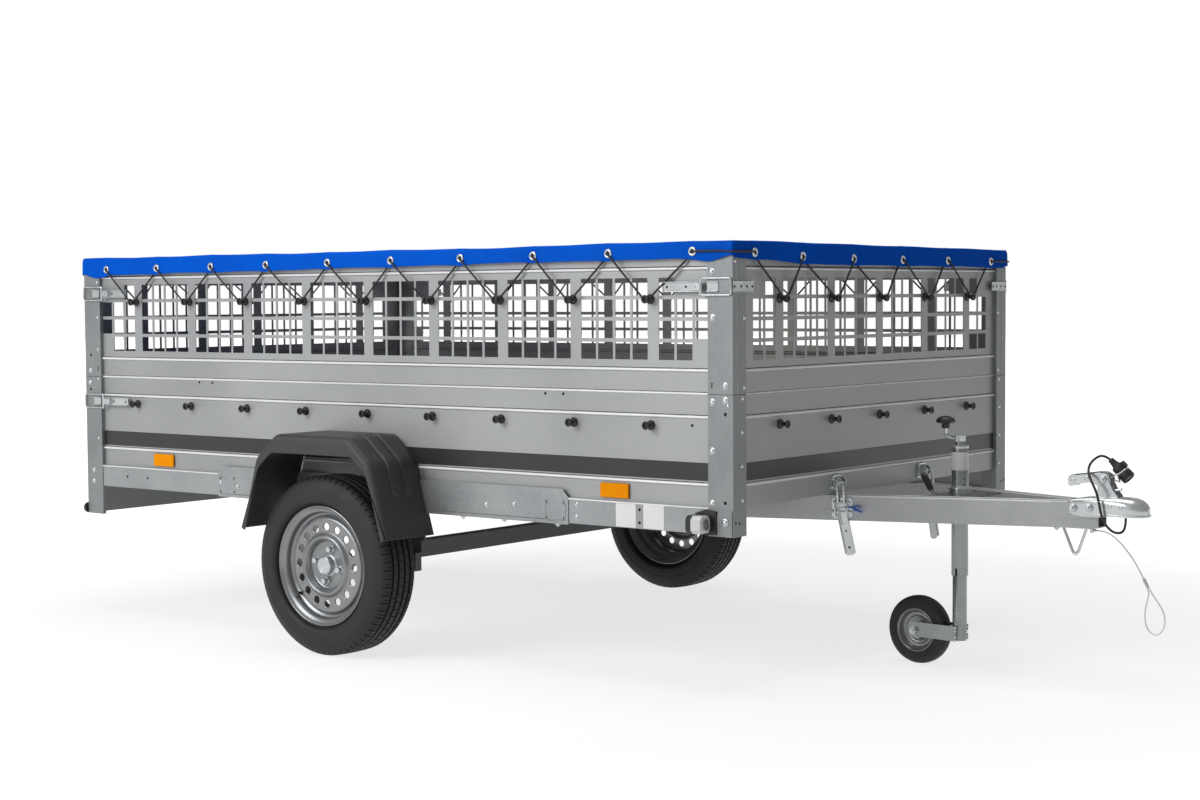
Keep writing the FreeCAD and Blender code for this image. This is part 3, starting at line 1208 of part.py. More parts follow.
# Tilt catches: over-centre levers on the arms, and their brackets on the front board
def tilt_catch():
    """The right catch, made along X on a face at Y zero and turned onto the arm."""
    width = size("catch_plate")
    wall = size("catch_plate_wall")
    plate = Part.makeBox(width, wall, size("catch_high") - size("catch_low"),
                         Vector(-width / 2, -wall, size("catch_low")))
    hand = size("catch_handle_width")
    depth = size("catch_handle_depth")
    pivot = Vector(0, -wall, size("catch_pivot"))
    long = size("catch_handle")
    bar = Part.makeBox(hand, depth, long, Vector(-hand / 2, -wall - depth, pivot.z - long))
    room = Part.makeBox(hand - 2 * size("arm_wall"), depth, long,
                        Vector(-hand / 2 + size("arm_wall"), -wall - depth - size("arm_wall"),
                               pivot.z - long - hand / 2))
    handle = bar.cut(room)
    handle.rotate(pivot, Y_AXIS, -size("catch_lean"))
    block_solid = Part.makeBox(hand, depth, hand, Vector(-hand / 2, -wall - depth, pivot.z - hand / 2))
    solid = plate.multiFuse([handle, block_solid])
    solid.rotate(ZERO, Z_AXIS, ARM_ANGLE)
    x = size("catch_place")
    solid.translate(Vector(x, -arm_outer(x), 0))
    return solid


def catch_bracket():
    face = size("box_length") - size("post_wall")
    wall = size("bracket_wall")
    low = size("bracket_low")
    tall = size("bracket_height")
    middle = -arm_outer(size("catch_place"))
    half = size("bracket_half")
    plate = Part.makeBox(wall, 2 * half, tall, Vector(face, middle - half, low))
    gap = size("bracket_gap") / 2
    lugs = [Part.makeBox(size("bracket_reach"), wall, tall, Vector(face, middle + y, low))
            for y in (-gap - wall, gap)]
    pin = Part.makeCylinder(size("bracket_pin_radius"), 2 * (gap + wall),
                            Vector(face + size("bracket_reach") - 2 * size("bracket_pin_radius"),
                                   middle - gap - wall, low + tall / 2), Y_AXIS)
    return plate.multiFuse(lugs + [pin])


def catches():
    for label, shape in (("tilt_catches", tilt_catch()), ("catch_brackets", catch_bracket())):
        solid_piece(label, Part.makeCompound([shape, shape.mirror(ZERO, Y_AXIS)]))


# Cords: round tubes along straight runs with a tangent arc at every corner
CORNER_SHARE = 0.45
# corners, measured from the middle of the towing ball, of the plug's cable between its leads,
# then of the breakaway wire and its loop
CABLE_ROUTE = ((-145, 22, 133), (-143, -14, 109), (-121, -42, 83), (-99, -54, 53),
               (-90, -55, 21), (-85, -53, -13), (-73, -43, -44), (-55, -24, -63))
WIRE_ROUTE = ((-97, -60), (-65, -77), (-34, -108), (-6, -144))
WIRE_END = (15, -183)
LOOP_ROUTE = ((26, -242), (20, -268), (19, -297), (28, -324), (51, -337), (71, -321),
              (78, -294), (71, -265), (54, -242))


def cord(label, points, radius):
    edges = []
    start = points[0]
    radii = []
    for before, corner, after in zip(points, points[1:], points[2:]):
        back = before - corner
        ahead = after - corner
        reach = CORNER_SHARE * min(back.Length, ahead.Length)
        half_turn = (math.pi - back.getAngle(ahead)) / 2
        bend = reach / math.tan(half_turn)
        radii.append(bend)
        back.normalize()
        ahead.normalize()
        inward = back + ahead
        inward.normalize()
        middle = corner + inward * (bend / math.cos(half_turn) - bend)
        enter = corner + back * reach
        leave = corner + ahead * reach
        edges.append(Part.LineSegment(start, enter).toShape())
        edges.append(Part.Arc(enter, middle, leave).toShape())
        start = leave
    edges.append(Part.LineSegment(start, points[-1]).toShape())
    wire = Part.Wire(edges)
    ring = Part.Wire([Part.makeCircle(radius, points[0], points[1] - points[0])])
    tube = wire.makePipeShell([ring], True, True)
    whole = math.pi * radius * radius * wire.Length
    print("%s: bends %s, length %.0f, volume over section times length %.4f" % (
        label, " ".join("%.0f" % bend for bend in radii), wire.Length, tube.Volume / whole))
    solid_piece(label, tube)


def from_ball(*place):
    """A point measured from the middle of the towing ball; two numbers lie in the middle plane."""
    x, y, z = place if len(place) == 3 else (place[0], 0, place[1])
    return Vector(size("ball_place") + x, y, size("ball_height") + z)


def plug_frame():
    """Tail end of the plug, and the way it points."""
    dip = math.radians(size("plug_dip"))
    tail = Vector(size("plug_tail_place"), size("plug_tail_side"), size("plug_tail_height"))
    return tail, Vector(math.cos(dip), 0, -math.sin(dip))


def plug():
    tail, way = plug_frame()
    neck = Part.makeCylinder(size("plug_neck"), size("plug_neck_length"), tail, way)
    start = tail + way * size("plug_neck_length")
    body = Part.makeCylinder(size("plug_radius"), size("plug_length"), start, way)
    solid_piece("plug", neck.fuse(body))
    # a ring round the plug, carried by a strip from the neck of the coupling
    long = size("holder_length")
    middle = start + way * (size("plug_length") / 2)
    bore = size("plug_radius") + size("plug_play")
    ring_start = middle - way * (long / 2)
    ring = Part.makeCylinder(bore + size("holder_wall"), long, ring_start, way)
    foot = size("holder_foot")
    strip_x = middle.x + way.z * bore - long / 2
    strip_y = tail.y
    base_z = size("ball_height") - foot / 2
    strip = Part.makeBox(long, size("holder_wall"), middle.z - way.x * bore - base_z,
                         Vector(strip_x, strip_y, base_z))
    shelf = Part.makeBox(long, strip_y + size("holder_wall") - size("neck_half"), foot,
                         Vector(strip_x, size("neck_half"), base_z))
    room = Part.makeCylinder(bore, long + 2 * size("overrun"), middle - way * (long / 2 + size("overrun")), way)
    solid_piece("plug_holder", ring.multiFuse([strip, shelf]).cut(room))


def nose_cords():
    tail, way = plug_frame()
    first = tail - way * size("cable_lead")
    end_x = size("cable_end_place")
    last = Vector(end_x, 0, size("cheek_bottom"))
    lead = last - Z_AXIS * size("cable_lead")
    cable = [tail, first] + [from_ball(*place) for place in CABLE_ROUTE] + [lead, last]
    cord("plug_cable", cable, size("cable_radius"))
    length = size("ferrule_length")
    start = Vector(size("lug_place") + size("lug_length"), 0,
                   ARM_BOTTOM - size("hook_plate_wall") - size("lug_half"))
    upper = Part.makeCylinder(size("ferrule_radius"), length, start, X_AXIS)
    wire = [start + X_AXIS * length] + [from_ball(*place) for place in WIRE_ROUTE + (WIRE_END,)]
    cord("breakaway_wire", wire, size("wire_radius"))
    way = wire[-1] - wire[-2]
    way.normalize()
    lower = Part.makeCylinder(size("ferrule_radius"), size("loop_ferrule_length"), wire[-1], way)
    solid_piece("wire_ferrules", Part.makeCompound([upper, lower]))
    foot = wire[-1] + way * size("loop_ferrule_length")
    aside = Vector(way.z, 0, -way.x) * size("strand_half")
    lead = way * size("loop_lead")
    loop = [foot + aside, foot + aside + lead] + [from_ball(*place) for place in LOOP_ROUTE]
    cord("breakaway_loop", loop + [foot - aside + lead, foot - aside], size("wire_radius"))


# Check every object before anything is written
def check_objects():
    doc.recompute()
    for thing in doc.Objects:
        if "Invalid" in thing.State or "Error" in thing.State:
            raise RuntimeError("failed object: %s %s" % (thing.Label, thing.State))
    for thing in pieces:
        if thing.Shape.isNull() or not thing.Shape.isValid() or not thing.Shape.Solids:
            raise RuntimeError("bad shape: " + thing.Label)


side_rails()
axle_plates()
corner_posts()
boards()
tailgate()
tailgate_hinges()
rear_end()
floor()
mesh_panels()
cord_hooks()
cover()
lacing()
corner_latches()
side_lights()
tip_shaft()
axle()
wheel("-")
wheel("")
solid_piece("mudguard_right", mudguard("-"))
solid_piece("mudguard_left", mudguard(""))
drawbar_arms()
jockey_clamp()
jockey_tube()
jockey_crank()
jockey_nut()
jockey_leg()
jockey_wheel()
coupling()
coupling_handle()
rest_hook()
catches()
plug()
nose_cords()

check_objects()
os.makedirs("parts", exist_ok=True)
for thing in pieces:
    thing.Shape.exportStep("parts/%s.step" % thing.Label)
    bounds = thing.Shape.BoundBox
    print("%-20s solids %3d  X %.1f to %.1f  Y %.1f to %.1f  Z %.1f to %.1f" % (
        thing.Label, len(thing.Shape.Solids), bounds.XMin, bounds.XMax, bounds.YMin, bounds.YMax,
        bounds.ZMin, bounds.ZMax))
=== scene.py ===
# %% [markdown]
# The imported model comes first. It gives every rigid part of the trailer as its own object, already in
# its place, in metres: X points forward to the coupling, Y to the left, Z up, and the ground is Z zero.
# Everything that follows is dressed over that frame, so its box is measured before anything is added.

# %% Load the frame
import math

import bmesh
import bpy
import numpy as np
from mathutils import Matrix, Vector


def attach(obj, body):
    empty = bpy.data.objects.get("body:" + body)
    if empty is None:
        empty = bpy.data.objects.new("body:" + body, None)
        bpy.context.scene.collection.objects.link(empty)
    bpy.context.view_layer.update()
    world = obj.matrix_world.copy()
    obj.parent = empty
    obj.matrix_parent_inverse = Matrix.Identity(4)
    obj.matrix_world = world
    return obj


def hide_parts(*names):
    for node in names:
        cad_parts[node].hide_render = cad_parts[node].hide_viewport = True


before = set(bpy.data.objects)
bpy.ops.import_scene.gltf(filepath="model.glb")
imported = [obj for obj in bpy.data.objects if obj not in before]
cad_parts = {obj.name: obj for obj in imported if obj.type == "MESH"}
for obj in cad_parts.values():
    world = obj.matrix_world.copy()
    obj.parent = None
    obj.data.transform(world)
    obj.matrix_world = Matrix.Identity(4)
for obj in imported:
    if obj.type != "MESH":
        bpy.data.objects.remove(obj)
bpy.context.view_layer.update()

REAR, FRONT = -1.7425, 0.9575
POST_HALF, FACE_HALF = 0.786, 0.774
END_FACE = FRONT - 0.012
TOP = 1.217
HANDS = (("right", -1.0), ("left", 1.0))

# %% [markdown]
# The photograph looks at the right-hand side and the nose from standing height, with a long lens. A
# camera is a matrix with three directions: to the right of the picture, up the picture, and back
# towards the viewer. Working them out from yaw, pitch and roll keeps the view exact.

# %% Camera
def camera_matrix(place, yaw, pitch, roll):
    """Columns are right, up and back: yaw and pitch give back its direction, and roll turns the other two."""
    a, e, r = (math.radians(v) for v in (yaw, pitch, roll))
    back = Vector((math.sin(a) * math.cos(e), -math.cos(a) * math.cos(e), math.sin(e)))
    right = Vector((math.cos(a), math.sin(a), 0.0))
    up = back.cross(right)
    turned_right = right * math.cos(r) + up * math.sin(r)
    turned_up = up * math.cos(r) - right * math.sin(r)
    matrix = Matrix((turned_right, turned_up, back)).transposed().to_4x4()
    matrix.translation = place
    return matrix


EYE = (3.9992, -5.2559, 1.0789)
YAW, TILT, ROLL = 37.9657, 2.8888, -0.3806
optics = bpy.data.cameras.new("photo_camera")
optics.lens, optics.sensor_width = 61.25, 36.0
camera = bpy.data.objects.new("photo_camera", optics)
bpy.context.collection.objects.link(camera)
camera.matrix_world = camera_matrix(EYE, YAW, TILT, ROLL)
bpy.context.scene.camera = camera
print("camera at", tuple(round(v, 3) for v in camera.location), "lens", optics.lens)

# %% [markdown]
# Three cords hang at the nose: the lamp plug's cable, the steel breakaway wire and its loop. Each is a
# NURBS curve through the same corners as its solid. A NURBS line cuts smoothly inside its corners, as a
# stiff cable does, so a few well placed corners give the whole lie of the cord.

# %% Cords at the nose
BALL = np.array((1.7525, 0.0, 0.487))


def from_ball(points):
    """Places measured from the middle of the towing ball, in millimetres, as metres in the frame."""
    return [tuple(BALL + np.array(p) / 1000) for p in points]


def nurbs(name, points, radius, body):
    """A round cord: a NURBS spline of order three that starts and ends on its end points."""
    curve = bpy.data.curves.new(name, "CURVE")
    curve.dimensions = "3D"
    spline = curve.splines.new("NURBS")
    spline.points.add(len(points) - 1)
    for knot, place in zip(spline.points, points):
        knot.co = (*place, 1.0)
        knot.radius = radius
    spline.order_u = 3
    spline.use_endpoint_u = True
    curve.resolution_u = 10
    curve.bevel_depth, curve.bevel_resolution = 1.0, 3
    curve.use_fill_caps = True
    thing = bpy.data.objects.new(name, curve)
    bpy.context.collection.objects.link(thing)
    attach(thing, body)
    return thing


DIP = math.radians(42)
PLUG_WAY = np.array((math.cos(DIP), 0.0, -math.sin(DIP)))
PLUG_TAIL = BALL + np.array((-0.092, 0.042, 0.126))
CABLE_END = BALL + np.array((-0.037, 0.0, -0.021))
cable_points = [tuple(CABLE_END), tuple(CABLE_END - np.array((0, 0, 0.036)))]
cable_points += from_ball(((-55, -24, -63), (-73, -43, -44), (-85, -53, -13), (-90, -55, 21), (-99, -54, 53),
                           (-121, -42, 83), (-143, -14, 109), (-145, 22, 133)))
cable_points += [tuple(PLUG_TAIL - 0.036 * PLUG_WAY), tuple(PLUG_TAIL)]
cable = nurbs("plug_lead", cable_points, 0.0035, "drawbar")

wire_points = from_ball(((-123, 0, -60), (-97, 0, -60), (-65, 0, -77), (-34, 0, -108), (-6, 0, -144),
                         (15, 0, -183)))
wire = nurbs("pull_wire", wire_points, 0.002, "drawbar")

WIRE_WAY = np.array(wire_points[-1]) - np.array(wire_points[-2])
WIRE_WAY /= np.linalg.norm(WIRE_WAY)
LOOP_FOOT = np.array(wire_points[-1]) + 0.024 * WIRE_WAY
ASIDE = 0.0023 * np.array((WIRE_WAY[2], 0.0, -WIRE_WAY[0]))
loop_points = [tuple(LOOP_FOOT + ASIDE), tuple(LOOP_FOOT + ASIDE + 0.016 * WIRE_WAY)]
loop_points += from_ball(((26, 0, -242), (20, 0, -268), (19, 0, -297), (28, 0, -324), (51, 0, -337),
                          (71, 0, -321), (78, 0, -294), (71, 0, -265), (54, 0, -242)))
loop_points += [tuple(LOOP_FOOT - ASIDE + 0.016 * WIRE_WAY), tuple(LOOP_FOOT - ASIDE)]
loop = nurbs("pull_loop", loop_points, 0.002, "drawbar")
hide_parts("plug_cable")
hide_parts("breakaway_wire")
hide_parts("breakaway_loop")
print("cord corners", len(cable_points), len(wire_points), len(loop_points))

# %% [markdown]
# Finishes come next. A material on real metal or plastic is never one flat colour: zinc has a fine
# grain and cloudy patches, rubber is dusty, moulded plastic is pebbled. Each of those effects is a node
# group that gives a mask between 0 and 1, measured in the object's own metres, so it stays put.

# %% Helpers for node groups
def linear(text):
    """A hex colour as linear red, green and blue."""
    values = [int(text[k:k + 2], 16) / 255 for k in (1, 3, 5)]
    return tuple(v / 12.92 if v <= 0.04045 else ((v + 0.055) / 1.055) ** 2.4 for v in values)


def new_group(name, inputs, outputs):
    """A node group with number inputs and mask outputs: its tree, its two ends and the object's own place."""
    tree = bpy.data.node_groups.new(name, "ShaderNodeTree")
    for label, value in inputs:
        socket = tree.interface.new_socket(name=label, in_out="INPUT", socket_type="NodeSocketFloat")
        socket.default_value = value
    for label in outputs:
        tree.interface.new_socket(name=label, in_out="OUTPUT", socket_type="NodeSocketFloat")
    source, sink = tree.nodes.new("NodeGroupInput"), tree.nodes.new("NodeGroupOutput")
    return tree, source, sink, object_place(tree)


def node(tree, kind, inputs=None, **settings):
    """A node with its settings and its inputs, each a value or the socket it is linked from."""
    made = tree.nodes.new(kind)
    for key, value in settings.items():
        setattr(made, key, value)
    for key, value in (inputs or {}).items():
        if isinstance(value, bpy.types.NodeSocket):
            tree.links.new(value, made.inputs[key])
        else:
            made.inputs[key].default_value = value
    return made


def math_node(tree, operation, first, second=0.0):
    """One step of arithmetic on two values."""
    return node(tree, "ShaderNodeMath", {0: first, 1: second}, operation=operation).outputs[0]


def ramp(tree, value, low, high):
    """Stretches a value so that low becomes 0 and high becomes 1, and clamps it."""
    return node(tree, "ShaderNodeMapRange", {"Value": value, "From Min": low,
                                             "From Max": high}).outputs["Result"]


def object_place(tree):
    """The shaded point's place in the object's own metres."""
    return node(tree, "ShaderNodeTexCoord").outputs["Object"]


# %% Masks that the finishes share
def cloudy_group():
    """Cloudy patches: fractal noise at a scale, stretched to full contrast."""
    tree, source, sink, coords = new_group("cloudy_patches", [("Scale", 3.0), ("Stretch", 1.0)], ["Mask"])
    parts = node(tree, "ShaderNodeSeparateXYZ", {"Vector": coords})
    tall = math_node(tree, "MULTIPLY", parts.outputs["Z"], source.outputs["Stretch"])
    place = node(tree, "ShaderNodeCombineXYZ", {"X": parts.outputs["X"], "Y": parts.outputs["Y"], "Z": tall})
    noise = node(tree, "ShaderNodeTexNoise", {"Vector": place.outputs[0], "Scale": source.outputs["Scale"],
                                              "Detail": 5.0, "Roughness": 0.6})
    tree.links.new(ramp(tree, noise.outputs["Fac"], 0.3, 0.7), sink.inputs["Mask"])
    return tree


def grain_group():
    """Zinc grain: random flat cells about a millimetre wide, softened by fine noise."""
    tree, source, sink, coords = new_group("metal_grain", [("Scale", 700.0)], ["Mask", "Fine"])
    cells = node(tree, "ShaderNodeTexVoronoi", {"Vector": coords, "Scale": source.outputs["Scale"]})
    shade = node(tree, "ShaderNodeSeparateColor", {"Color": cells.outputs["Color"]}).outputs["Red"]
    fine = node(tree, "ShaderNodeTexNoise", {"Vector": coords, "Scale": 1500.0, "Detail": 3.0}).outputs["Fac"]
    both = math_node(tree, "ADD", math_node(tree, "MULTIPLY", shade, 0.6),
                     math_node(tree, "MULTIPLY", fine, 0.4))
    tree.links.new(both, sink.inputs["Mask"])
    tree.links.new(fine, sink.inputs["Fine"])
    return tree


def streak_group():
    """Rolling marks: noise drawn out a hundredfold along X and Y, so it reads as fine level lines."""
    tree, source, sink, coords = new_group("rolling_marks", [("Scale", 500.0)], ["Mask"])
    drawn = node(tree, "ShaderNodeMapping", {"Vector": coords, "Scale": (0.012, 0.012, 1.0)})
    noise = node(tree, "ShaderNodeTexNoise", {"Vector": drawn.outputs[0], "Scale": source.outputs["Scale"],
                                              "Detail": 2.0})
    tree.links.new(ramp(tree, noise.outputs["Fac"], 0.35, 0.65), sink.inputs["Mask"])
    return tree


def pebble_group():
    """Moulded grain: the distance from the centres of small cells, high in the middle of each pebble."""
    tree, source, sink, coords = new_group("moulded_pebble", [("Scale", 900.0)], ["Height"])
    cells = node(tree, "ShaderNodeTexVoronoi", {"Vector": coords, "Scale": source.outputs["Scale"]})
    tree.links.new(math_node(tree, "SUBTRACT", 1.0, cells.outputs["Distance"]), sink.inputs["Height"])
    return tree


def weave_group():
    """Coated cloth: the larger of two crossed sine ridges, one thread every 1.3 mm."""
    tree, source, sink, coords = new_group("coated_weave", [("Scale", 2400.0)], ["Height"])
    parts = node(tree, "ShaderNodeSeparateXYZ", {"Vector": coords})
    level = math_node(tree, "ADD", parts.outputs["X"], parts.outputs["Y"])
    waves = []
    for place in (level, math_node(tree, "ADD", parts.outputs["Z"], math_node(
            tree, "SUBTRACT", parts.outputs["X"], parts.outputs["Y"]))):
        turned = math_node(tree, "MULTIPLY", place, source.outputs["Scale"])
        waves.append(math_node(tree, "ABSOLUTE", math_node(tree, "SINE", turned)))
    tree.links.new(math_node(tree, "MAXIMUM", waves[0], waves[1]), sink.inputs["Height"])
    return tree


MASKS = {tree.name: tree for tree in (cloudy_group(), grain_group(), streak_group(), pebble_group(),
                                      weave_group())}
print("mask groups", sorted(MASKS))

# %% Finishes
def mask(tree, name, output="Mask", **inputs):
    """One of the shared masks inside a material."""
    made = node(tree, "ShaderNodeGroup", node_tree=MASKS[name])
    for key, value in inputs.items():
        made.inputs[key].default_value = value
    return made.outputs[output]


FINISH = {}


def finish(name, dark, light, patches, roughness, bump=None, metallic=0.0, spread=0.12, grain=None,
           **sockets):
    """Adds a finish: two near colours mixed by patches and grain, its roughness and a fine bump."""
    material = bpy.data.materials.new(name)
    material.use_nodes = True
    tree = material.node_tree
    shader = tree.nodes["Principled BSDF"]
    shader.inputs["Metallic"].default_value = metallic
    for key, value in sockets.items():
        shader.inputs[key.replace("_", " ")].default_value = value
    cloud = mask(tree, "cloudy_patches", Scale=patches, Stretch=1.0)
    fine = mask(tree, grain[0], grain[1], Scale=grain[2]) if grain else mask(tree, "metal_grain", "Fine")
    share = math_node(tree, "ADD", math_node(tree, "MULTIPLY", cloud, 0.55),
                      math_node(tree, "MULTIPLY", fine, 0.45))
    mix = node(tree, "ShaderNodeMix", {"Factor": share}, data_type="RGBA")
    mix.inputs[6].default_value = (*linear(dark), 1.0)
    mix.inputs[7].default_value = (*linear(light), 1.0)
    tree.links.new(mix.outputs[2], shader.inputs["Base Color"])
    rough = node(tree, "ShaderNodeMapRange", {"Value": share, "To Min": roughness - spread,
                                              "To Max": roughness + spread})
    tree.links.new(rough.outputs["Result"], shader.inputs["Roughness"])
    if bump:
        group, output, scale, distance = bump
        height = mask(tree, group, output, Scale=scale)
        made = node(tree, "ShaderNodeBump", {"Height": height, "Strength": 0.6, "Distance": distance})
        tree.links.new(made.outputs["Normal"], shader.inputs["Normal"])
    FINISH[name] = material


FINE, GRAIN = ("metal_grain", "Fine"), ("metal_grain", "Mask")
PEBBLE, WEAVE, ROLLED = ("moulded_pebble", "Height"), ("coated_weave", "Height"), ("rolling_marks", "Mask")
GALVANISED = (*GRAIN, 260.0)
finish("zinc_frame", "#8d9092", "#b1b4b5", 6.0, 0.46, (*GALVANISED, 0.0004), metallic=0.55, grain=GALVANISED)
finish("zinc_sheet", "#9a9c9d", "#b3b5b6", 2.2, 0.5, (*ROLLED, 500.0, 0.0001), metallic=0.45,
       grain=(*GRAIN, 900.0), spread=0.07)
finish("zinc_bright", "#b6b9bb", "#d6d9da", 14.0, 0.25, (*GRAIN, 500.0, 0.00004), metallic=0.7,
       grain=(*GRAIN, 500.0), spread=0.04)
# a near-white zinc that paints highlights: on the bead ridges, the post folds and the arm edges
finish("painted_highlight_zinc", "#f0f1f1", "#fdfdfd", 14.0, 0.3, (*ROLLED, 500.0, 0.0001), metallic=0.1, spread=0.06)
finish("hub_steel", "#77797b", "#9fa1a3", 18.0, 0.42, (*FINE, 500.0, 0.0002), metallic=0.8)
finish("rim_silver", "#7e8082", "#96989a", 8.0, 0.32, (*FINE, 500.0, 0.00005), metallic=0.6, spread=0.05,
       Coat_Weight=0.3, Coat_Roughness=0.15)
finish("tyre_black", "#131415", "#232426", 9.0, 0.62, (*FINE, 500.0, 0.0003))
finish("guard_plastic", "#2d2e2f", "#3c3d3d", 5.0, 0.5, (*PEBBLE, 900.0, 0.0003))
finish("black_plastic", "#161718", "#232425", 12.0, 0.38, (*PEBBLE, 1400.0, 0.0001))
finish("blue_cover", "#004fc2", "#0066e8", 3.0, 0.6, (*WEAVE, 2400.0, 0.00012), spread=0.06,
       Specular_IOR_Level=0.04)
finish("black_elastic", "#141416", "#2b2b2e", 60.0, 0.62, (*WEAVE, 5200.0, 0.0004))
finish("lamp_amber", "#ff9200", "#ffa400", 30.0, 0.4, (*PEBBLE, 260.0, 0.0008), Specular_IOR_Level=0.06)
finish("lamp_red", "#8d0b10", "#b3161b", 30.0, 0.2, (*PEBBLE, 260.0, 0.0008), Coat_Weight=0.5)
finish("lamp_clear", "#eceeef", "#fafbfb", 40.0, 0.16, (*PEBBLE, 300.0, 0.0008), Coat_Weight=0.6,
       Transmission_Weight=0.12)
finish("plate_white", "#f2f2f0", "#fafaf8", 8.0, 0.35, (*FINE, 500.0, 0.00004))
finish("plywood", "#4c3a2b", "#62503d", 7.0, 0.55, (*ROLLED, 200.0, 0.0003))
finish("cable_black", "#141415", "#222224", 40.0, 0.45, (*FINE, 500.0, 0.0001))
finish("wire_steel", "#d6d8d9", "#f2f3f3", 80.0, 0.35, (*WEAVE, 3000.0, 0.0003), metallic=0.3)
finish("graphite_film", "#252628", "#2d2e30", 4.0, 0.36, (*FINE, 500.0, 0.00003), spread=0.05)
# near-black: painted shade in open holes and in strips over beads and folds, and the posts' real hairline
# joints
finish("painted_shade_and_joint_black", "#0a0a0b", "#121213", 40.0, 0.8, (*FINE, 500.0, 0.0001))
# darker zinc: the corner posts' own tone, and painted shade on the rear panel
finish("post_zinc_and_painted_shade", "#7d8082", "#9da0a1", 6.0, 0.48, (*GALVANISED, 0.0004), metallic=0.5, grain=GALVANISED)
finish("zinc_arm", "#a0a3a5", "#c4c6c7", 6.0, 0.44, (*GALVANISED, 0.0004), metallic=0.5, grain=GALVANISED)
finish("zinc_tube", "#808385", "#a2a5a6", 10.0, 0.27, (*GRAIN, 400.0, 0.00004), metallic=0.75,
       grain=(*GRAIN, 400.0), spread=0.05)
# a darker zinc for the axle: painted shade for its place under the box
finish("axle_zinc_painted_shade", "#4c4f51", "#66696b", 6.0, 0.5, (*GALVANISED, 0.0004), metallic=0.4, grain=GALVANISED)
finish("catch_blue", "#0b4fae", "#1f6bd0", 40.0, 0.35, (*PEBBLE, 900.0, 0.0001))
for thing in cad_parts.values():
    for slot in thing.material_slots:
        slot.material = FINISH[slot.name.split(".")[0]]
# the rear panel's darker zinc is painted shade, for its face seen in the dark under the box
RELOOKED = {"post_zinc_and_painted_shade": ("corner_posts_lower", "corner_posts_upper", "rear_panel"), "axle_zinc_painted_shade": ("axle",),
            "zinc_arm": ("arm_right", "arm_left"), "zinc_tube": ("jockey_leg", "jockey_tube", "jockey_clamp")}
for look, names in RELOOKED.items():
    for name in names:
        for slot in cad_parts[name].material_slots:
            slot.material = FINISH[look]
for thing, name in ((cable, "cable_black"), (wire, "wire_steel"), (loop, "wire_steel")):
    thing.data.materials.append(FINISH[name])
print("finishes", len(FINISH))

# %% [markdown]
# New pieces are surfaces worked out with numpy. A grid of points becomes faces by joining each point to
# its neighbours; a turned part is a profile swept round an axis; a lace is a circle swept along a path.
# These few helpers make all of them, merge what meets, and set the normals to point outwards.

# %% Helpers for meshes
X_WAY, Y_WAY, Z_WAY = np.eye(3)


def grid(points, wrap_rows=False, wrap_columns=False):
    """Vertices and quads of a grid of points, whose rows or columns may close on themselves."""
    rows, columns = points.shape[:2]
    i = np.arange(rows if wrap_rows else rows - 1)
    j = np.arange(columns if wrap_columns else columns - 1)
    a, b = np.meshgrid(i, j, indexing="ij")
    c, d = (a + 1) % rows, (b + 1) % columns
    quads = np.stack([a * columns + b, c * columns + b, c * columns + d, a * columns + d], -1).reshape(-1, 4)
    return points.reshape(-1, 3), quads


def joined(pieces):
    """Several meshes as one list of vertices and faces."""
    vertices, faces, start = [], [], 0
    for points, quads in pieces:
        vertices.append(points)
        rows_of_corners = quads.tolist() if isinstance(quads, np.ndarray) else quads
        faces += [[corner + start for corner in face] for face in rows_of_corners]
        start += len(points)
    return np.concatenate(vertices), faces


def mirrored(shape):
    """The same shape across the middle plane: Y changes its sign."""
    return np.asarray(shape[0]) * (1, -1, 1), shape[1]


def paired(shapes):
    """Shapes of the right side, followed by the same shapes on the left."""
    return shapes + [mirrored(shape) for shape in shapes]


def frame_of(axis):
    """Two directions square to an axis, and the axis itself, as the rows of a matrix."""
    axis = np.array(axis, float) / np.linalg.norm(axis)
    helper = Z_WAY if abs(axis[2]) < 0.9 else X_WAY
    first = np.cross(helper, axis)
    first /= np.linalg.norm(first)
    return np.array((first, np.cross(axis, first), axis))


def round_axis(radius, turn, distance, place, axis):
    """Points round an axis: radius times cosine and sine of the turn, and the distance along the axis."""
    local = np.stack([radius * np.cos(turn), radius * np.sin(turn),
                      np.broadcast_to(distance, radius.shape)], -1)
    return local @ frame_of(axis) + np.array(place)


def turned(profile, place, axis, segments=24):
    """A profile of (radius, distance) swept round an axis."""
    profile = np.array(profile, float)
    angle = np.linspace(0, 2 * np.pi, segments, endpoint=False)
    radius = np.broadcast_to(profile[:, :1], (len(profile), segments))
    return grid(round_axis(radius, angle, profile[:, 1:], place, axis), wrap_columns=True)


def turned_mm(profile, place, axis, segments=24):
    """A turned part whose profile is given in millimetres."""
    return turned(np.array(profile) / 1000, place, axis, segments)


def corner_curve(before, corner, after, bend, steps):
    """The quadratic curve that rounds one corner of a line, from the run before it to the run after it."""
    first = corner + (before - corner) / np.linalg.norm(before - corner) * bend
    last = corner + (after - corner) / np.linalg.norm(after - corner) * bend
    t = np.linspace(0, 1, steps)[:, None]
    return (1 - t) ** 2 * first + 2 * t * (1 - t) * corner + t ** 2 * last


def swept(path, radius, sides=10):
    """A circle carried along a path: each ring stands square to the path's direction there."""
    path = np.array(path, float)
    ways = np.gradient(path, axis=0)
    ways /= np.linalg.norm(ways, axis=1)[:, None]
    first = frame_of(ways[0])[0]
    rings = []
    angle = np.linspace(0, 2 * np.pi, sides, endpoint=False)[:, None]
    for place, way in zip(path, ways):
        first = first - way * (first @ way)
        first /= np.linalg.norm(first)
        rings.append(place + radius * (np.cos(angle) * first + np.sin(angle) * np.cross(way, first)))
    ends = [np.repeat(path[:1], sides, 0), *rings, np.repeat(path[-1:], sides, 0)]
    return grid(np.array(ends), wrap_columns=True)


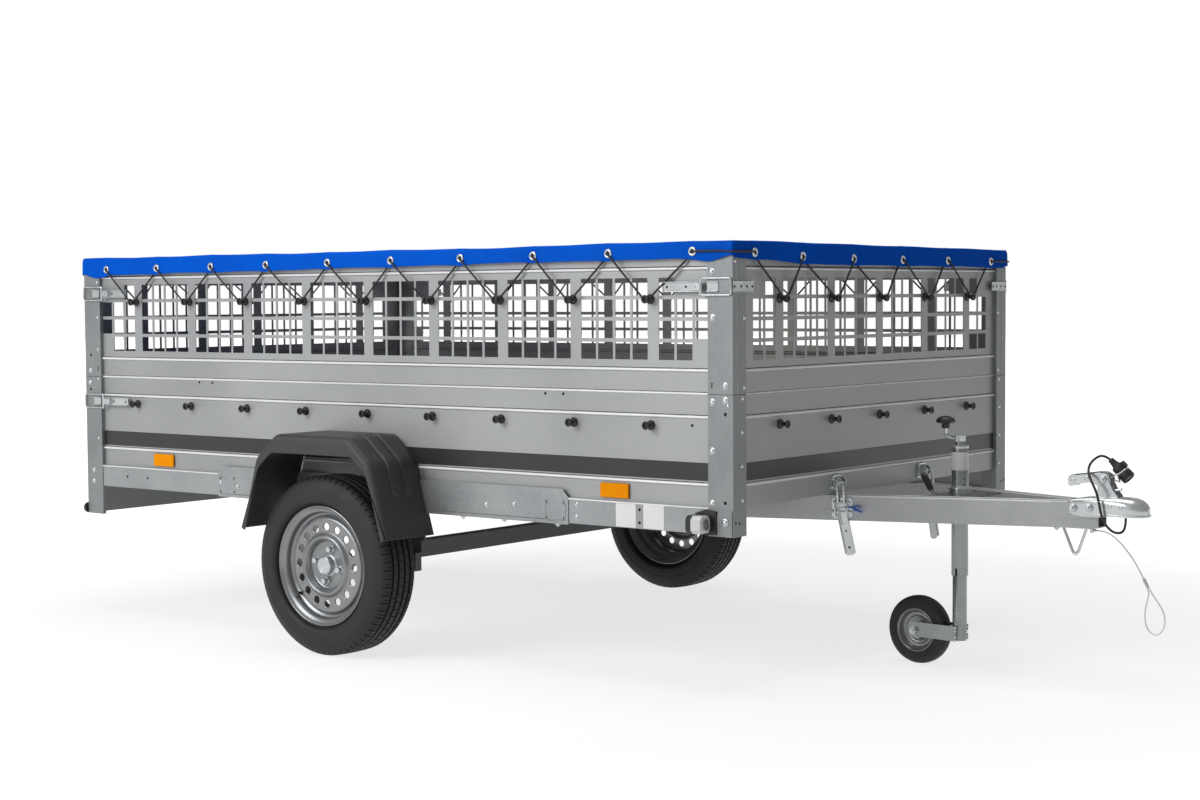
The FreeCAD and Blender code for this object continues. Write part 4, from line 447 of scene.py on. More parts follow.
def block(low, high):
    """The six faces of a box between two corners."""
    x, y, z = zip(low, high)
    points = np.array([(x[i], y[j], z[k]) for i in (0, 1) for j in (0, 1) for k in (0, 1)])
    return points, np.array([(0, 1, 3, 2), (4, 6, 7, 5), (0, 4, 5, 1), (2, 3, 7, 6), (0, 2, 6, 4),
                             (1, 5, 7, 3)])


def plate(points, way, thickness):
    """A flat outline pushed along a direction: two caps and a strip round the edge."""
    points = np.array(points, float)
    far = points + np.array(way, float) / np.linalg.norm(way) * thickness
    count = len(points)
    k = np.arange(count)
    sides = [(a, (a + 1) % count, (a + 1) % count + count, a + count) for a in k]
    return np.concatenate([points, far]), [tuple(k[::-1]), tuple(k + count), *sides]


def upright(outline, y, thickness):
    """A plate of (x, z) corners that stands along the trailer and grows to the left."""
    return plate([(x, y, z) for x, z in outline], Y_WAY, thickness)


def piece(name, shape, body, finish_name, smooth=35.0, bevel=0.0, replaces=(), wall=0.0):
    """A mesh object of one shape or a list of them: doubles merged, normals outwards, edges kept sharp."""
    vertices, faces = joined(shape) if isinstance(shape, list) else shape
    mesh = bpy.data.meshes.new(name)
    corners = faces.tolist() if isinstance(faces, np.ndarray) else faces
    mesh.from_pydata(np.asarray(vertices).tolist(), [], [tuple(face) for face in corners])
    work = bmesh.new()
    work.from_mesh(mesh)
    bmesh.ops.remove_doubles(work, verts=work.verts, dist=1e-6)
    bmesh.ops.dissolve_degenerate(work, edges=work.edges, dist=1e-7)
    bmesh.ops.recalc_face_normals(work, faces=work.faces)
    work.to_mesh(mesh)
    work.free()
    mesh.polygons.foreach_set("use_smooth", np.ones(len(mesh.polygons), bool))
    mesh.set_sharp_from_angle(angle=math.radians(smooth))
    mesh.materials.append(FINISH[finish_name])
    thing = bpy.data.objects.new(name, mesh)
    bpy.context.collection.objects.link(thing)
    if wall:
        thicken = thing.modifiers.new("wall", "SOLIDIFY")
        thicken.thickness, thicken.offset = wall, -1.0
    if bevel:
        edge = thing.modifiers.new("edges", "BEVEL")
        edge.width, edge.segments, edge.limit_method = bevel, 2, "ANGLE"
        edge.harden_normals = True
    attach(thing, body)
    if replaces:
        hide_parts(*replaces)
    return thing


print("mesh helpers ready")

# %% [markdown]
# The cover is a sheet of coated cloth pulled tight over the mesh sides, with a skirt of about 55 mm.
# A tight cover has three kinds of shape: a flat top that sags a little, a rounded edge, and a skirt
# that the elastic pulls in at every eyelet and that stands off between them. All three are functions of
# the distance along the rim and the distance in from it, so one grid of rings describes the sheet.

# %% Rings of the cover
MIDDLE = (REAR + FRONT) / 2
HALF_LONG, HALF_WIDE = (FRONT - REAR) / 2 + 0.0034, POST_HALF + 0.0034
SIDE_EYES = (-1.6178, -1.3577, -1.0888, -0.8287, -0.5518, -0.2821, -0.0017, 0.2750, 0.5450, 0.8300)
END_EYES = (-0.6850, -0.4450, -0.1720, 0.1100, 0.3900, 0.6750)


def rim_points(inset, radius=0.006, along=320, across=190):
    """A rectangle with round corners, drawn inwards: its points and their outward directions."""
    a, b = HALF_LONG - inset, max(HALF_WIDE - inset, 1e-4)
    r = max(min(radius, b * 0.99), 1e-5)
    points, ways = [], []
    corners = ((a - r, -b + r, -90), (a - r, b - r, 0), (-a + r, b - r, 90), (-a + r, -b + r, 180))
    for k, (x, y, start) in enumerate(corners):
        turn = np.radians(start + np.linspace(0, 90, 8))
        way = np.stack([np.cos(turn), np.sin(turn)], -1)
        corner = np.array((x, y)) + r * way
        other = np.array(corners[(k + 1) % 4][:2]) + r * way[-1]
        count = across if k % 2 == 0 else along
        share = np.linspace(0, 1, count + 1)[1:-1, None]
        points += [corner, corner[-1] * (1 - share) + other * share]
        ways += [way, np.repeat(way[-1:], count - 1, 0)]
    return np.concatenate(points) + np.array((MIDDLE, 0.0)), np.concatenate(ways)


def between(value, low, high):
    """A smooth step from 0 at low to 1 at high."""
    t = np.clip((value - low) / (high - low), 0, 1)
    return t * t * (3 - 2 * t)


def tug(points, ways):
    """How near a rim point is to an eyelet: 1 at it, falling off over 35 mm on either side."""
    side = np.min(np.abs(points[:, :1] - np.array(SIDE_EYES)), axis=1)
    end = np.min(np.abs(points[:, 1:2] - np.array(END_EYES)), axis=1)
    from_eyelet = np.where(np.abs(ways[:, 1]) > 0.5, side, end)
    return np.exp(-(from_eyelet / 0.035) ** 2), from_eyelet


def ripple(x, y, seed):
    """Gentle unevenness: a few sine waves of unlike lengths added up."""
    long, middling = np.sin(9.1 * x + 5.3 * y + seed), np.sin(17.7 * x - 11.2 * y + 2.1 * seed)
    return (long + middling + 0.6 * np.sin(37.3 * x + 29.0 * y + 0.7 * seed)) / 2.6


CORNER = np.array((FRONT, -POST_HALF))


def eye_height(x, y):
    """Height of the row of eyelets: highest at the near front corner, where the sheet is pulled up."""
    away = np.hypot(x - CORNER[0], y - CORNER[1])
    side = 1.1800 + 0.0190 * np.exp(-(away / 1.9) ** 2)
    end = 1.1840 + 0.0130 * np.exp(-(away / 0.3) ** 2)
    return np.where(np.abs(y) > 0.76, side, end)


def crest(x, y):
    """How far the edge of the sheet is raised: up to 8 mm, uneven, most at the near front corner."""
    away = np.hypot(x - CORNER[0], y - CORNER[1])
    wave = 0.0011 * np.sin(8.3 * x + 3.0 * y) + 0.0007 * np.sin(23.0 * x - 17.0 * y + 1.0)
    return np.clip(0.0026 + 0.0048 * np.exp(-(away / 0.5) ** 2) + wave, 0.0002, 0.0082)


EDGE_RADIUS, SHEET_TOP = 0.006, TOP + 0.0035
rows = []
base, outward = rim_points(0.0)
pull, gap = tug(base, outward)
# distance along the rim from each corner, for the flap folded back onto the skirt there
from_end = np.minimum(np.abs(base[:, 0] - (MIDDLE + HALF_LONG)), np.abs(base[:, 0] - (MIDDLE - HALF_LONG)))
from_side = HALF_WIDE - np.abs(base[:, 1])
on_side = np.abs(outward[:, 1]) > 0.5
reach = np.where(on_side, from_end, from_side)
open_run = between(reach, 0.10, 0.22)
pleats = 0.0010 * np.cos(2 * math.pi * gap / 0.026) * np.exp(-(gap / 0.055) ** 2) * open_run
stand_off = (0.0012 * (1 - pull) + 0.0010 * ripple(base[:, 0], base[:, 1], 1.0) - 0.0014 * pull
             + 0.0022 * (1 - pull) * open_run)
raised = crest(base[:, 0], base[:, 1])
dip = np.where(on_side, 0.010 * np.exp(-((reach - 0.078) / 0.040) ** 2)
               - 0.006 * np.exp(-(reach / 0.03) ** 2), 0)
hem_level = (eye_height(base[:, 0], base[:, 1]) - 0.0185 - 0.0026 * pull
             + 0.0016 * ripple(base[:, 0], base[:, 1], 4.0) - dip)
edge_level = SHEET_TOP - EDGE_RADIUS + raised
for depth in (1.0, 0.93, 0.82, 0.69, 0.55, 0.4, 0.27, 0.14):
    fold = np.where(on_side, 0.006 + 0.044 * depth, 0.038 + 0.014 * depth)
    flap = 0.0017 * between(fold - reach, 0.0, 0.004)
    crinkle = 0.0011 * depth * ripple(base[:, 1] * 3, base[:, 0] * 3, 2.0)
    off = stand_off * (0.35 + 0.65 * depth) + flap + crinkle + pleats * depth
    spot = base + outward * off[:, None]
    rows.append(np.column_stack([spot, edge_level * (1 - depth) + hem_level * depth]))
for turn in np.radians((20, 45, 70)):
    inset = EDGE_RADIUS * (1 - math.cos(turn))
    spot, _ = rim_points(inset)
    low = SHEET_TOP - EDGE_RADIUS * (1 - math.sin(turn)) + raised
    rows.append(np.column_stack([spot + outward * (0.4 * stand_off[:, None]), low]))
for inset in (0.006, 0.012, 0.02, 0.032, 0.05, 0.075, 0.11, 0.16, 0.22, 0.3, 0.4, 0.52, 0.65,
              HALF_WIDE - 0.0004):
    spot, _ = rim_points(inset)
    sag = -0.010 * between(inset, 0.01, 0.45) + raised * math.exp(-inset / 0.12)
    crease = (0.0012 * (pull - 0.35) * math.exp(-inset / 0.09)
              + 0.0011 * ripple(spot[:, 0], spot[:, 1], 7.0) * between(inset, 0.0, 0.05))
    rows.append(np.column_stack([spot, np.full(len(spot), TOP + 0.0032) + sag + crease]))
cover = piece("cover_sheet", grid(np.array(rows), wrap_columns=True), "box", "blue_cover", smooth=60,
              replaces=("cover",), wall=0.0009)
# the last ring is drawn in to the middle line: its two long sides are merged there
closing = bmesh.new()
closing.from_mesh(cover.data)
bmesh.ops.remove_doubles(closing, verts=closing.verts, dist=0.0009)
closing.to_mesh(cover.data)
closing.free()
print("cover faces", len(cover.data.polygons))

# %% [markdown]
# Eyelets are pressed rings of bright metal, spaced as unevenly as the photograph shows them. The elastic
# is one lace per hook: it comes out of an eyelet and crosses the skirt, goes round the hook's neck, and
# climbs behind the skirt to the next eyelet. At the two front corners a lace runs outside the skirt.

# %% Eyelets and elastic
HOOK_Z, PITCH, HOOK_MIDDLE = 1.072, 0.270, MIDDLE - 0.009
SIDES = {
    "right": (np.array((HOOK_MIDDLE, -FACE_HALF, 0.0)), X_WAY, -Y_WAY, 9),
    "left": (np.array((HOOK_MIDDLE, FACE_HALF, 0.0)), X_WAY, Y_WAY, 9),
    "front": (np.array((END_FACE, 0.0, 0.0)), Y_WAY, X_WAY, 5),
    "rear": (np.array((REAR + 0.012, 0.0, 0.0)), Y_WAY, -X_WAY, 5),
}
END_OVER = ((False, True), (False, True), (False, False), (True, False), (True, False))
OVER = {"right": ((True, False),) * 9, "left": ((True, False),) * 9, "front": END_OVER, "rear": END_OVER}
SKIRT, LACE = 0.0166, 0.0029
eyelets, eyelet_holes, laces = [], [], []
RING = ((6.2, -0.6), (6.6, 1.2), (8.5, 2.1), (10.8, 1.8), (12.6, 0.6), (13, -0.8), (6.2, -0.6))


def lace_path(base_point, along, out, centre, eyes, rear_over, front_over):
    """The lace's run: straight to the hook, half round its neck, and straight up to the next eyelet."""
    neck = 0.0090
    outer, inner = SKIRT + 0.0032, 0.0065

    def at(u, w, z):
        return base_point + along * u + out * w + np.array((0, 0, z))

    first = outer if rear_over else inner
    second = outer if front_over else inner
    heights = [float(eye_height(*(base_point + along * u)[:2])) for u in eyes]
    turn = np.radians(np.linspace(180, 360, 9))
    bend = [at(centre + neck * math.cos(t), 0.020, HOOK_Z + 0.001 + neck * math.sin(t)) for t in turn]
    share = np.linspace(0, 1, 5)[:-1, None]
    start, end = at(eyes[0], first, heights[0]), at(eyes[1], second, heights[1])
    down = start * (1 - share) + bend[0] * share
    up = bend[-1] * share + end * (1 - share)
    lead = [at(eyes[0], 0.006, heights[0])] if rear_over else []
    tail = [at(eyes[1], 0.006, heights[1])] if front_over else []
    return np.array(lead + list(down) + bend + list(up[::-1]) + tail)


for side, (base_point, along, out, count) in SIDES.items():
    eyes = [x - HOOK_MIDDLE for x in SIDE_EYES] if count == 9 else END_EYES
    for k in range(count):
        laces.append(swept(lace_path(base_point, along, out, (k - (count - 1) / 2) * PITCH, eyes[k:k + 2],
                                     *OVER[side][k]), LACE, 8))
    for eye in eyes:
        spot = base_point + along * eye + out * SKIRT
        spot[2] += eye_height(spot[0], spot[1])
        eyelets.append(turned_mm(RING, spot, out, 20))
        eyelet_holes.append(turned_mm(((0, 0.4), (6.4, 0.4)), spot, out, 20))


def corner_run(sign_x, sign_y):
    """The lace outside the skirt from the last side eyelet round a corner to the first end eyelet."""
    x_eye, y_eye = SIDE_EYES[-1], END_EYES[0 if sign_y < 0 else -1]
    x_out, y_out = MIDDLE + sign_x * (HALF_LONG + 0.0045), sign_y * (HALF_WIDE + 0.0045)
    path = [(x_eye, sign_y * (HALF_WIDE - 0.008)), (x_eye + sign_x * 0.006, y_out)]
    path += [(x_eye + sign_x * s, y_out) for s in (0.05, 0.09)]
    path += [(x_out - sign_x * 0.010, y_out), (x_out - sign_x * 0.003, y_out - sign_y * 0.001),
             (x_out, y_out - sign_y * 0.004), (x_out, y_out - sign_y * 0.012)]
    path += [(x_out, y_eye + sign_y * s) for s in (0.08, 0.04, 0.006)]
    path += [(x_out - sign_x * 0.012, y_eye)]
    # the side's heights hold until the corner, the end's heights from there on
    levels = [eye_height(x, sign_y * (max(abs(y), 0.77) if abs(x - x_out) > 0.02 else 0.74)) for x, y in path]
    path = [(x, y, float(z)) for (x, y), z in zip(path, levels)]
    return swept(path, LACE, 8)


laces += [corner_run(1, side) for side in (-1, 1)]
eyelet_rings = piece("cover_eyelets", eyelets, "box", "zinc_bright", smooth=60)
# the dark disc in each eyelet is painted shade
eyelet_dark = piece("eyelet_holes", eyelet_holes, "box", "painted_shade_and_joint_black")
piece("elastic_lacing", laces, "box", "black_elastic", smooth=80, replaces=("cover_lacing",))

# %% [markdown]
# The hooks are moulded spools: a wide foot, a narrow neck that holds the lace, and a round head with a
# recess for the screw. One profile turned round its axis makes a hook, and copies of it fill the rows.

# %% Cord hooks
SPOOL = ((0, 0), (13.8, 0), (14, 2), (12, 6), (6.6, 9), (6, 13), (6.2, 19), (9.8, 22.5), (11.8, 24.5),
         (11.8, 27), (10.8, 28), (7, 28), (6.2, 26.2), (5.6, 24), (0, 24))
SCREW = ((4, 24), (4, 25.2), (2.8, 26.4), (0, 26.8))
LOW_HOOK_Z = 0.7276
upper, lower, screws, tail_low, tail_screws = [], [], [], [], []
for side, (base_point, along, out, count) in SIDES.items():
    for k in range(count):
        spot = base_point + along * ((k - (count - 1) / 2) * PITCH)
        upper.append(turned_mm(SPOOL, spot + np.array((0, 0, HOOK_Z)), out, 20))
        screws.append(turned_mm(SCREW, spot + np.array((0, 0, HOOK_Z)), out, 12))
        low_spot = spot + np.array((0, 0, LOW_HOOK_Z))
        if side == "rear":
            low_spot = low_spot + out * 0.012
            tail_low.append(turned_mm(SPOOL, low_spot, out, 20))
            tail_screws.append(turned_mm(SCREW, low_spot, out, 12))
        else:
            lower.append(turned_mm(SPOOL, low_spot, out, 20))
            screws.append(turned_mm(SCREW, low_spot, out, 12))
piece("spools_upper", upper, "box", "black_plastic", smooth=40, replaces=("hooks_upper",))
piece("spools_lower", lower, "box", "black_plastic", smooth=40, replaces=("hooks_lower",))
piece("spools_tailgate", tail_low, "tailgate", "black_plastic", smooth=40, replaces=("tailgate_hooks",))
piece("spool_screws", screws, "box", "black_plastic", smooth=40)
piece("tailgate_spool_screws", tail_screws, "tailgate", "black_plastic", smooth=40)
print("hooks", len(upper), len(lower), len(tail_low))

# %% [markdown]
# A dark stripe of film runs round the lower boards just above their bottom bead, and two blank white
# labels sit on the rail. Film has almost no thickness, so each is a thin plate just proud of the metal.

# %% Stripe and labels
FILM, POST_WIDTH, BOARD_END = 0.0003, 0.0815, 0.7225
SIDE_RUN, END_RUN = (REAR + POST_WIDTH, FRONT - POST_WIDTH), (-BOARD_END, BOARD_END)
STRIPE_LOW, STRIPE_HIGH = 0.5830, 0.6320
stripe = [block((SIDE_RUN[0], low, STRIPE_LOW), (SIDE_RUN[1], high, STRIPE_HIGH))
          for low, high in ((-FACE_HALF - FILM, -FACE_HALF), (FACE_HALF, FACE_HALF + FILM))]
stripe.append(block((END_FACE, -BOARD_END, STRIPE_LOW), (END_FACE + FILM, BOARD_END, STRIPE_HIGH)))
piece("board_stripe", stripe, "box", "graphite_film")
LABEL_FACE = -POST_HALF + 0.0025
labels = [block((x0 + REAR, LABEL_FACE - FILM, z0), (x1 + REAR, LABEL_FACE, z1))
          for x0, x1, z0, z1 in ((2.305, 2.374, 0.4430, 0.5080), (2.400, 2.470, 0.4435, 0.5115))]
piece("blank_labels", labels, "box", "plate_white")
print("stripe runs", len(stripe), "labels", len(labels))

# %% [markdown]
# The boards are rolled from thin sheet, and long beads make them stiff. Each bead gets a narrow ridge of
# near-white zinc along its upper side, a painted highlight, and above it a dark strip of painted shadow
# where the sheet folds in. A bead is a small section pushed along the board, and the same section lies on
# the joint and the rail.

# %% Painted bead highlights and shadows, and joint lines
BEAD = ((-1.0, 4.6), (1.6, 4.5), (3.4, 3.6), (4.5, 1.9), (4.7, 0.0), (4.2, -1.7), (3.0, -3.0), (-1.0, -3.2))
SHADE = ((-1.0, 6.6), (0.5, 6.5), (0.7, 4.7), (-1.0, 4.5))
RAIL_FACE, FOLD_LINE_LOW, FOLD_LINE_HIGH, POST_JOINT, JOINT_GAP = 0.7835, 0.8185, 1.1800, 0.8165, 0.0013


def run_along(section, face, level, way, ends, size=1.0):
    """A section of (out, up) in millimetres pushed along X on a side face, or along Y on an end face."""
    section = np.array(section) * size / 1000
    if way == "side":
        outline = [(ends[0], -face - out, level + up) for out, up in section]
        return plate(outline, (1, 0, 0), ends[1] - ends[0])
    outline = [(face + out * (1 if face > 0 else -1), ends[0], level + up) for out, up in section]
    return plate(outline, (0, 1, 0), ends[1] - ends[0])


# the near-white ridges are painted highlights; the dark strips above them are painted shadow
bead_highlight_runs, shade_and_joint_runs = [], []
for level, size in ((1.1535, 1.0), (0.8795, 1.0), (0.8170, 0.8), (0.7540, 1.0), (0.5725, 1.0)):
    bead_highlight_runs.append(run_along(BEAD, FACE_HALF, level, "side", SIDE_RUN, size))
    shade_and_joint_runs.append(run_along(SHADE, FACE_HALF, level, "side", SIDE_RUN, size))
bead_highlight_runs.append(run_along(BEAD, RAIL_FACE, 0.5105, "side", SIDE_RUN, 0.55))
bead_highlight_runs, shade_and_joint_runs = paired(bead_highlight_runs), paired(shade_and_joint_runs)
for level, size in ((1.1535, 1.0), (0.8795, 1.0), (0.8170, 0.5), (0.7540, 1.0), (0.5725, 0.9)):
    bead_highlight_runs.append(run_along(BEAD, END_FACE, level, "end", END_RUN, size))
    shade_and_joint_runs.append(run_along(SHADE, END_FACE, level, "end", END_RUN, size))
# each corner post has a dark hairline where its halves meet; its fold gets a painted highlight strip
# and a painted shade line beside it
for x in (REAR, FRONT - POST_WIDTH):
    shade_and_joint_runs += [block((x, side * POST_HALF - 0.0002, POST_JOINT),
                         (x + POST_WIDTH, side * POST_HALF + 0.0002, POST_JOINT + JOINT_GAP))
                   for side in (-1, 1)]
for x in (REAR, FRONT):
    shade_and_joint_runs += [block((x - 0.0002, low, POST_JOINT), (x + 0.0002, high, POST_JOINT + JOINT_GAP))
                   for low, high in ((-0.7845, -BOARD_END), (BOARD_END, 0.7845))]


def fold_line(x, y, half):
    """A thin upright strip on a post's end face, for a painted highlight or painted shade line at its fold.
    """
    return block((x - 0.0003, y - half, FOLD_LINE_LOW), (x + 0.0003, y + half, FOLD_LINE_HIGH))


# painted highlight strips along the posts' folds, and painted shade lines beside them
for x in (REAR, FRONT):
    bead_highlight_runs += [fold_line(x, side * 0.7620, 0.0009) for side in (-1, 1)]
    shade_and_joint_runs += [fold_line(x, side * 0.7595, 0.0005) for side in (-1, 1)]
piece("board_bead_highlights", bead_highlight_runs, "box", "painted_highlight_zinc", smooth=50)
# the dark strips above the beads and beside the post folds are painted shadow; the post hairlines are real
# joints
piece("bead_shades_and_joints", shade_and_joint_runs, "box", "painted_shade_and_joint_black", smooth=50)
print("bead runs", len(bead_highlight_runs))

# %% [markdown]
# A steel wheel is pressed from sheet: a barrel with two flanges, and a disc with a ring of sixteen holes
# round a raised crest. Turning a profile gives everything but the holes. The ring that holds them is
# sixteen equal cells, each a grid that runs from the cell's edge in to the hole and out again behind.

# %% Rims
AXLE = np.array((-0.4365, 0.88, 0.2736))
STEPS, HOLES = 96, 16
HOLE_RING, RING_HALF = 0.117, 0.017
INNER_PART = ((100, 42), (98, 43.2), (95, 46.5), (92.5, 50.5), (90, 53), (87, 54.2), (84, 54), (81, 52),
              (78, 47.5), (75.5, 41), (73.5, 36), (71.5, 33.2), (67, 32), (48, 31.4), (36, 31), (33, 31.6),
              (30.5, 33.4), (28.6, 33.6), (28.4, 27), (60, 27.2), (68, 28), (71, 31), (73.5, 38), (77, 45),
              (81, 49.4), (86, 50.4), (90, 49), (93.5, 44.5), (96.5, 40), (100, 38))
OUTER_PART = ((134, 38), (141, 37), (143.4, 34), (143.8, 26), (144, 20), (144, -22), (147, -25), (158, -31),
              (160.4, -36), (161, -50), (164, -54), (170, -57.5), (176, -62), (180, -66), (182.2, -65.4),
              (182.4, -62), (174, -58.5), (168, -55), (165.2, -51), (165, -34), (149, -23), (148.2, -20),
              (148.2, 21), (149, 24), (165, 34), (165.2, 51), (168, 55), (174, 58.5), (182.4, 62),
              (182.4, 65.2), (180.6, 66.3), (178.4, 65), (175.4, 60.4), (171, 57.2), (165, 55),
              (162.4, 51.5), (161.4, 40), (160.6, 36.6), (157.5, 34.4), (152, 33), (150.2, 31.4),
              (149.6, 29), (147.6, 28.4), (146.4, 29.6), (146, 36), (145, 39), (142.6, 40.8), (138.5, 41.9),
              (134, 42))


def hole_cell():
    """A cell's rows: its edge walked in 24 steps, drawn in to the hole's circle, through it, out behind."""
    step = np.arange(6) / 6
    ones = np.ones(6)
    edge = np.concatenate([np.column_stack(side) for side in (
        (-1 + 2 * step, ones), (ones, 1 - 2 * step), (1 - 2 * step, -ones), (-ones, -1 + 2 * step))])
    half_angle = np.pi / HOLES
    edge = edge * (half_angle, RING_HALF) + (0.0, HOLE_RING)
    way = np.radians(135 - 15 * np.arange(24))

    def circle(radius):
        across, up = radius * np.cos(way), HOLE_RING + radius * np.sin(way)
        return np.column_stack([np.arctan2(across, up), np.hypot(across, up)])

    rows = []
    for share, radius, face in ((0, 0, 42), (0.55, 0.0148, 42), (1, 0.0130, 41.9), (1, 0.0119, 41.2),
                                (1, 0.0115, 40.4), (1, 0.0116, 37.6), (1, 0.0128, 37.8), (0.55, 0.0150, 38),
                                (0, 0, 38)):
        place = edge * (1 - share) + circle(max(radius, 1e-3)) * share
        rows.append(np.column_stack([place, np.full(24, face / 1000)]))
    return np.array(rows)


def rim_shape(place, axis):
    """The turned parts and the sixteen cells, which share every point along their seams."""
    inner, outer = (turned_mm(part, place, axis, STEPS) for part in (INNER_PART, OUTER_PART))
    cell = hole_cell()
    shapes = [inner, outer]
    for k in range(HOLES):
        angle = cell[..., 0] + k * 2 * np.pi / HOLES
        shapes.append(grid(round_axis(cell[..., 1], angle, cell[..., 2], place, axis), wrap_columns=True))
    return joined(shapes)


print("rim profile points", len(INNER_PART) + len(OUTER_PART), "hole cell", hole_cell().shape)

# %% [markdown]
# A tyre is the same section carried round the wheel, less its tread. The tread's depth is a function of
# the place across the tyre and of the angle: four straight grooves run round, wide slots cut the
# shoulders at every pitch, and narrow slits cross the ribs. Angles crowd where a slot's walls stand.

# %% Tyres
TREAD = 0.2735
SECTION = ((57.0, 269.6), (62.0, 265.4), (66.6, 259.6), (70.4, 252.4), (73.6, 244.6), (75.4, 238.6),
           (75.7, 237.4), (77.0, 235.4), (77.2, 233.6), (76.9, 232.4), (78.0, 224.0), (78.4, 215.0),
           (78.3, 208.0), (77.9, 203.4), (78.3, 202.6), (78.2, 201.0), (77.4, 200.0), (76.2, 196.4),
           (73.4, 192.6), (69.0, 190.0), (64.4, 188.4), (62.4, 188.5), (61.4, 187.6), (60.0, 184.6),
           (58.4, 180.0), (57.0, 174.0), (53.4, 167.0), (53.0, 165.3))
TREAD_PLACES = (0.0, 4.5, 8.8, 9.8, 16.2, 17.2, 21.0, 26.0, 31.6, 32.6, 39.0, 40.0, 44.0, 49.0, 53.5)
GROOVES = ((9.8, 16.2), (32.6, 39.0))
PITCHES = 68
SLOT_SHARES = np.array((0.0, 0.10, 0.13, 0.24, 0.27, 0.42, 0.56, 0.585, 0.63, 0.655, 0.82, 0.91))


def tread_depth(across, share):
    """Millimetres cut away: grooves by distance across, shoulder slots and rib slits by share of a pitch."""
    a = np.abs(across)
    groove = np.zeros_like(a)
    for low, high in GROOVES:
        groove = np.where((a >= low) & (a <= high), 6.5, groove)
    slot = np.where((share >= 0.125) & (share <= 0.245), 1.0, 0.0)
    slit = np.where((share >= 0.58) & (share <= 0.635), 1.0, 0.0)
    shoulder = np.where((a >= 44.0) & (a <= 62.5), 4.6, 0.0) * slot
    ribs = np.where((a >= 21.0) & (a <= 31.0), 3.4, 0.0) * slit + np.where(a <= 8.0, 3.0, 0.0) * slot
    fine = np.where((a >= 41.0) & (a <= 57.5), 2.2, 0.0) * slit
    return np.maximum(np.maximum(groove, shoulder), np.maximum(ribs, fine))


def tyre_shape(place, axis):
    """Section points times angles; the radius loses the tread's depth, the rest of the section is plain."""
    crown = [(a, 1000 * TREAD - 1.9 * (a / 57.0) ** 2) for a in TREAD_PLACES]
    half = np.array(crown + list(SECTION), float)
    section = np.concatenate([half[::-1] * (-1, 1), half[1:]])
    pitch = 2 * np.pi / PITCHES
    angle = ((np.arange(PITCHES)[:, None] + SLOT_SHARES) * pitch).ravel()
    share = np.tile(SLOT_SHARES, PITCHES)
    lean = np.where(np.abs(section[:, 0]) > 40, 0.0, section[:, 0] / 160.0)
    cut = tread_depth(section[:, :1], share[None, :])
    cut = np.where(section[:, 1:] > 262, cut, 0.0)
    radius = (section[:, 1:] - cut) / 1000
    turn = angle[None, :] + pitch * lean[:, None]
    return grid(round_axis(radius, turn, section[:, :1] / 1000, place, axis), wrap_rows=True,
                wrap_columns=True)


print("tyre section points", 2 * (len(SECTION) + len(TREAD_PLACES)) - 1, "angles", PITCHES * len(SLOT_SHARES))

# %% [markdown]
# The middle of the wheel is a cast hub with a bright cap and four wheel bolts, set a little off the
# upright as in the photograph. A bolt is a cone seat, a six-sided head and a small raised ring.

# %% Hubs, bolts and valves
HUB = ((15.3, -39), (38, -39), (38, 13), (62, 13), (62, 22.6), (28.2, 22.6), (28.2, 30), (15.3, 30),
       (15.3, -39))
CAP = ((0, 30), (34.5, 30), (34.5, 32.6), (32.5, 34.4), (29.6, 35), (28.4, 37), (28.2, 50), (27.4, 53.4),
       (25, 55.4), (22.6, 55.8), (21.6, 54.8), (12.4, 54.6), (11.6, 53.8), (0, 53.8))
SEAT = ((0, 31), (13, 31), (13, 33.4), (10.4, 36), (0, 36))
HEAD = ((0, 36), (10.2, 36), (10.2, 46.4), (8.8, 48), (0, 48))
VALVE = ((0, 0), (7.5, 0), (7.2, 3), (4.8, 7), (4.2, 20), (4.6, 21), (4.6, 29), (3.6, 30.5), (0, 30.5))
BOLT_ANGLES, BOLT_RING, VALVE_ANGLE = np.radians((77, 167, 257, 347)), 0.050, math.radians(219)


def in_wheel(axis, place, radius, angle):
    """A place in the wheel's own plane, at a radius and an angle, moved into the frame."""
    return np.array((radius * math.cos(angle), radius * math.sin(angle), 0.0)) @ frame_of(axis) + place


for hand, sign in HANDS:
    centre, axis = AXLE * (1, sign, 1), (0.0, sign, 0.0)
    piece("rim_pressing_" + hand, rim_shape(centre, axis), "wheel_" + hand, "rim_silver", smooth=50,
          replaces=("rim_" + hand,))
    piece("tyre_tread_" + hand, tyre_shape(centre, axis), "wheel_" + hand, "tyre_black", smooth=28,
          replaces=("tyre_" + hand,))
    piece("wheel_hub_" + hand, turned_mm(HUB, centre, axis, 48), "wheel_" + hand, "hub_steel",
          smooth=40, replaces=("hub_" + hand,))
    bright = [turned_mm(CAP, centre, axis, 48)]
    for angle in BOLT_ANGLES:
        spot = in_wheel(axis, centre, BOLT_RING, angle)
        bright += [turned_mm(SEAT, spot, axis, 20), turned_mm(HEAD, spot, axis, 6)]
    piece("wheel_bolts_" + hand, bright, "wheel_" + hand, "zinc_bright", smooth=35, bevel=0.0006)
    foot = in_wheel(axis, centre, 0.1535, VALVE_ANGLE) + np.array(axis) * 0.028
    tip = in_wheel(axis, centre, 0.1445, VALVE_ANGLE) + np.array(axis) * 0.056
    stem = (tip - foot) / np.linalg.norm(tip - foot)
    piece("valve_" + hand, turned_mm(VALVE, foot, stem, 16), "wheel_" + hand, "black_plastic", smooth=40)
print("wheels dressed")

# %% [markdown]
# A mudguard is one moulding: an arch of three flats with rounded corners, a soft outer edge, a side face
# that stops at the arch's mouth, and two raised ribs down the front. The arch is a path, and the section
# is carried along it: rows that start at the box, cross the top, turn the edge and end at the mouth.

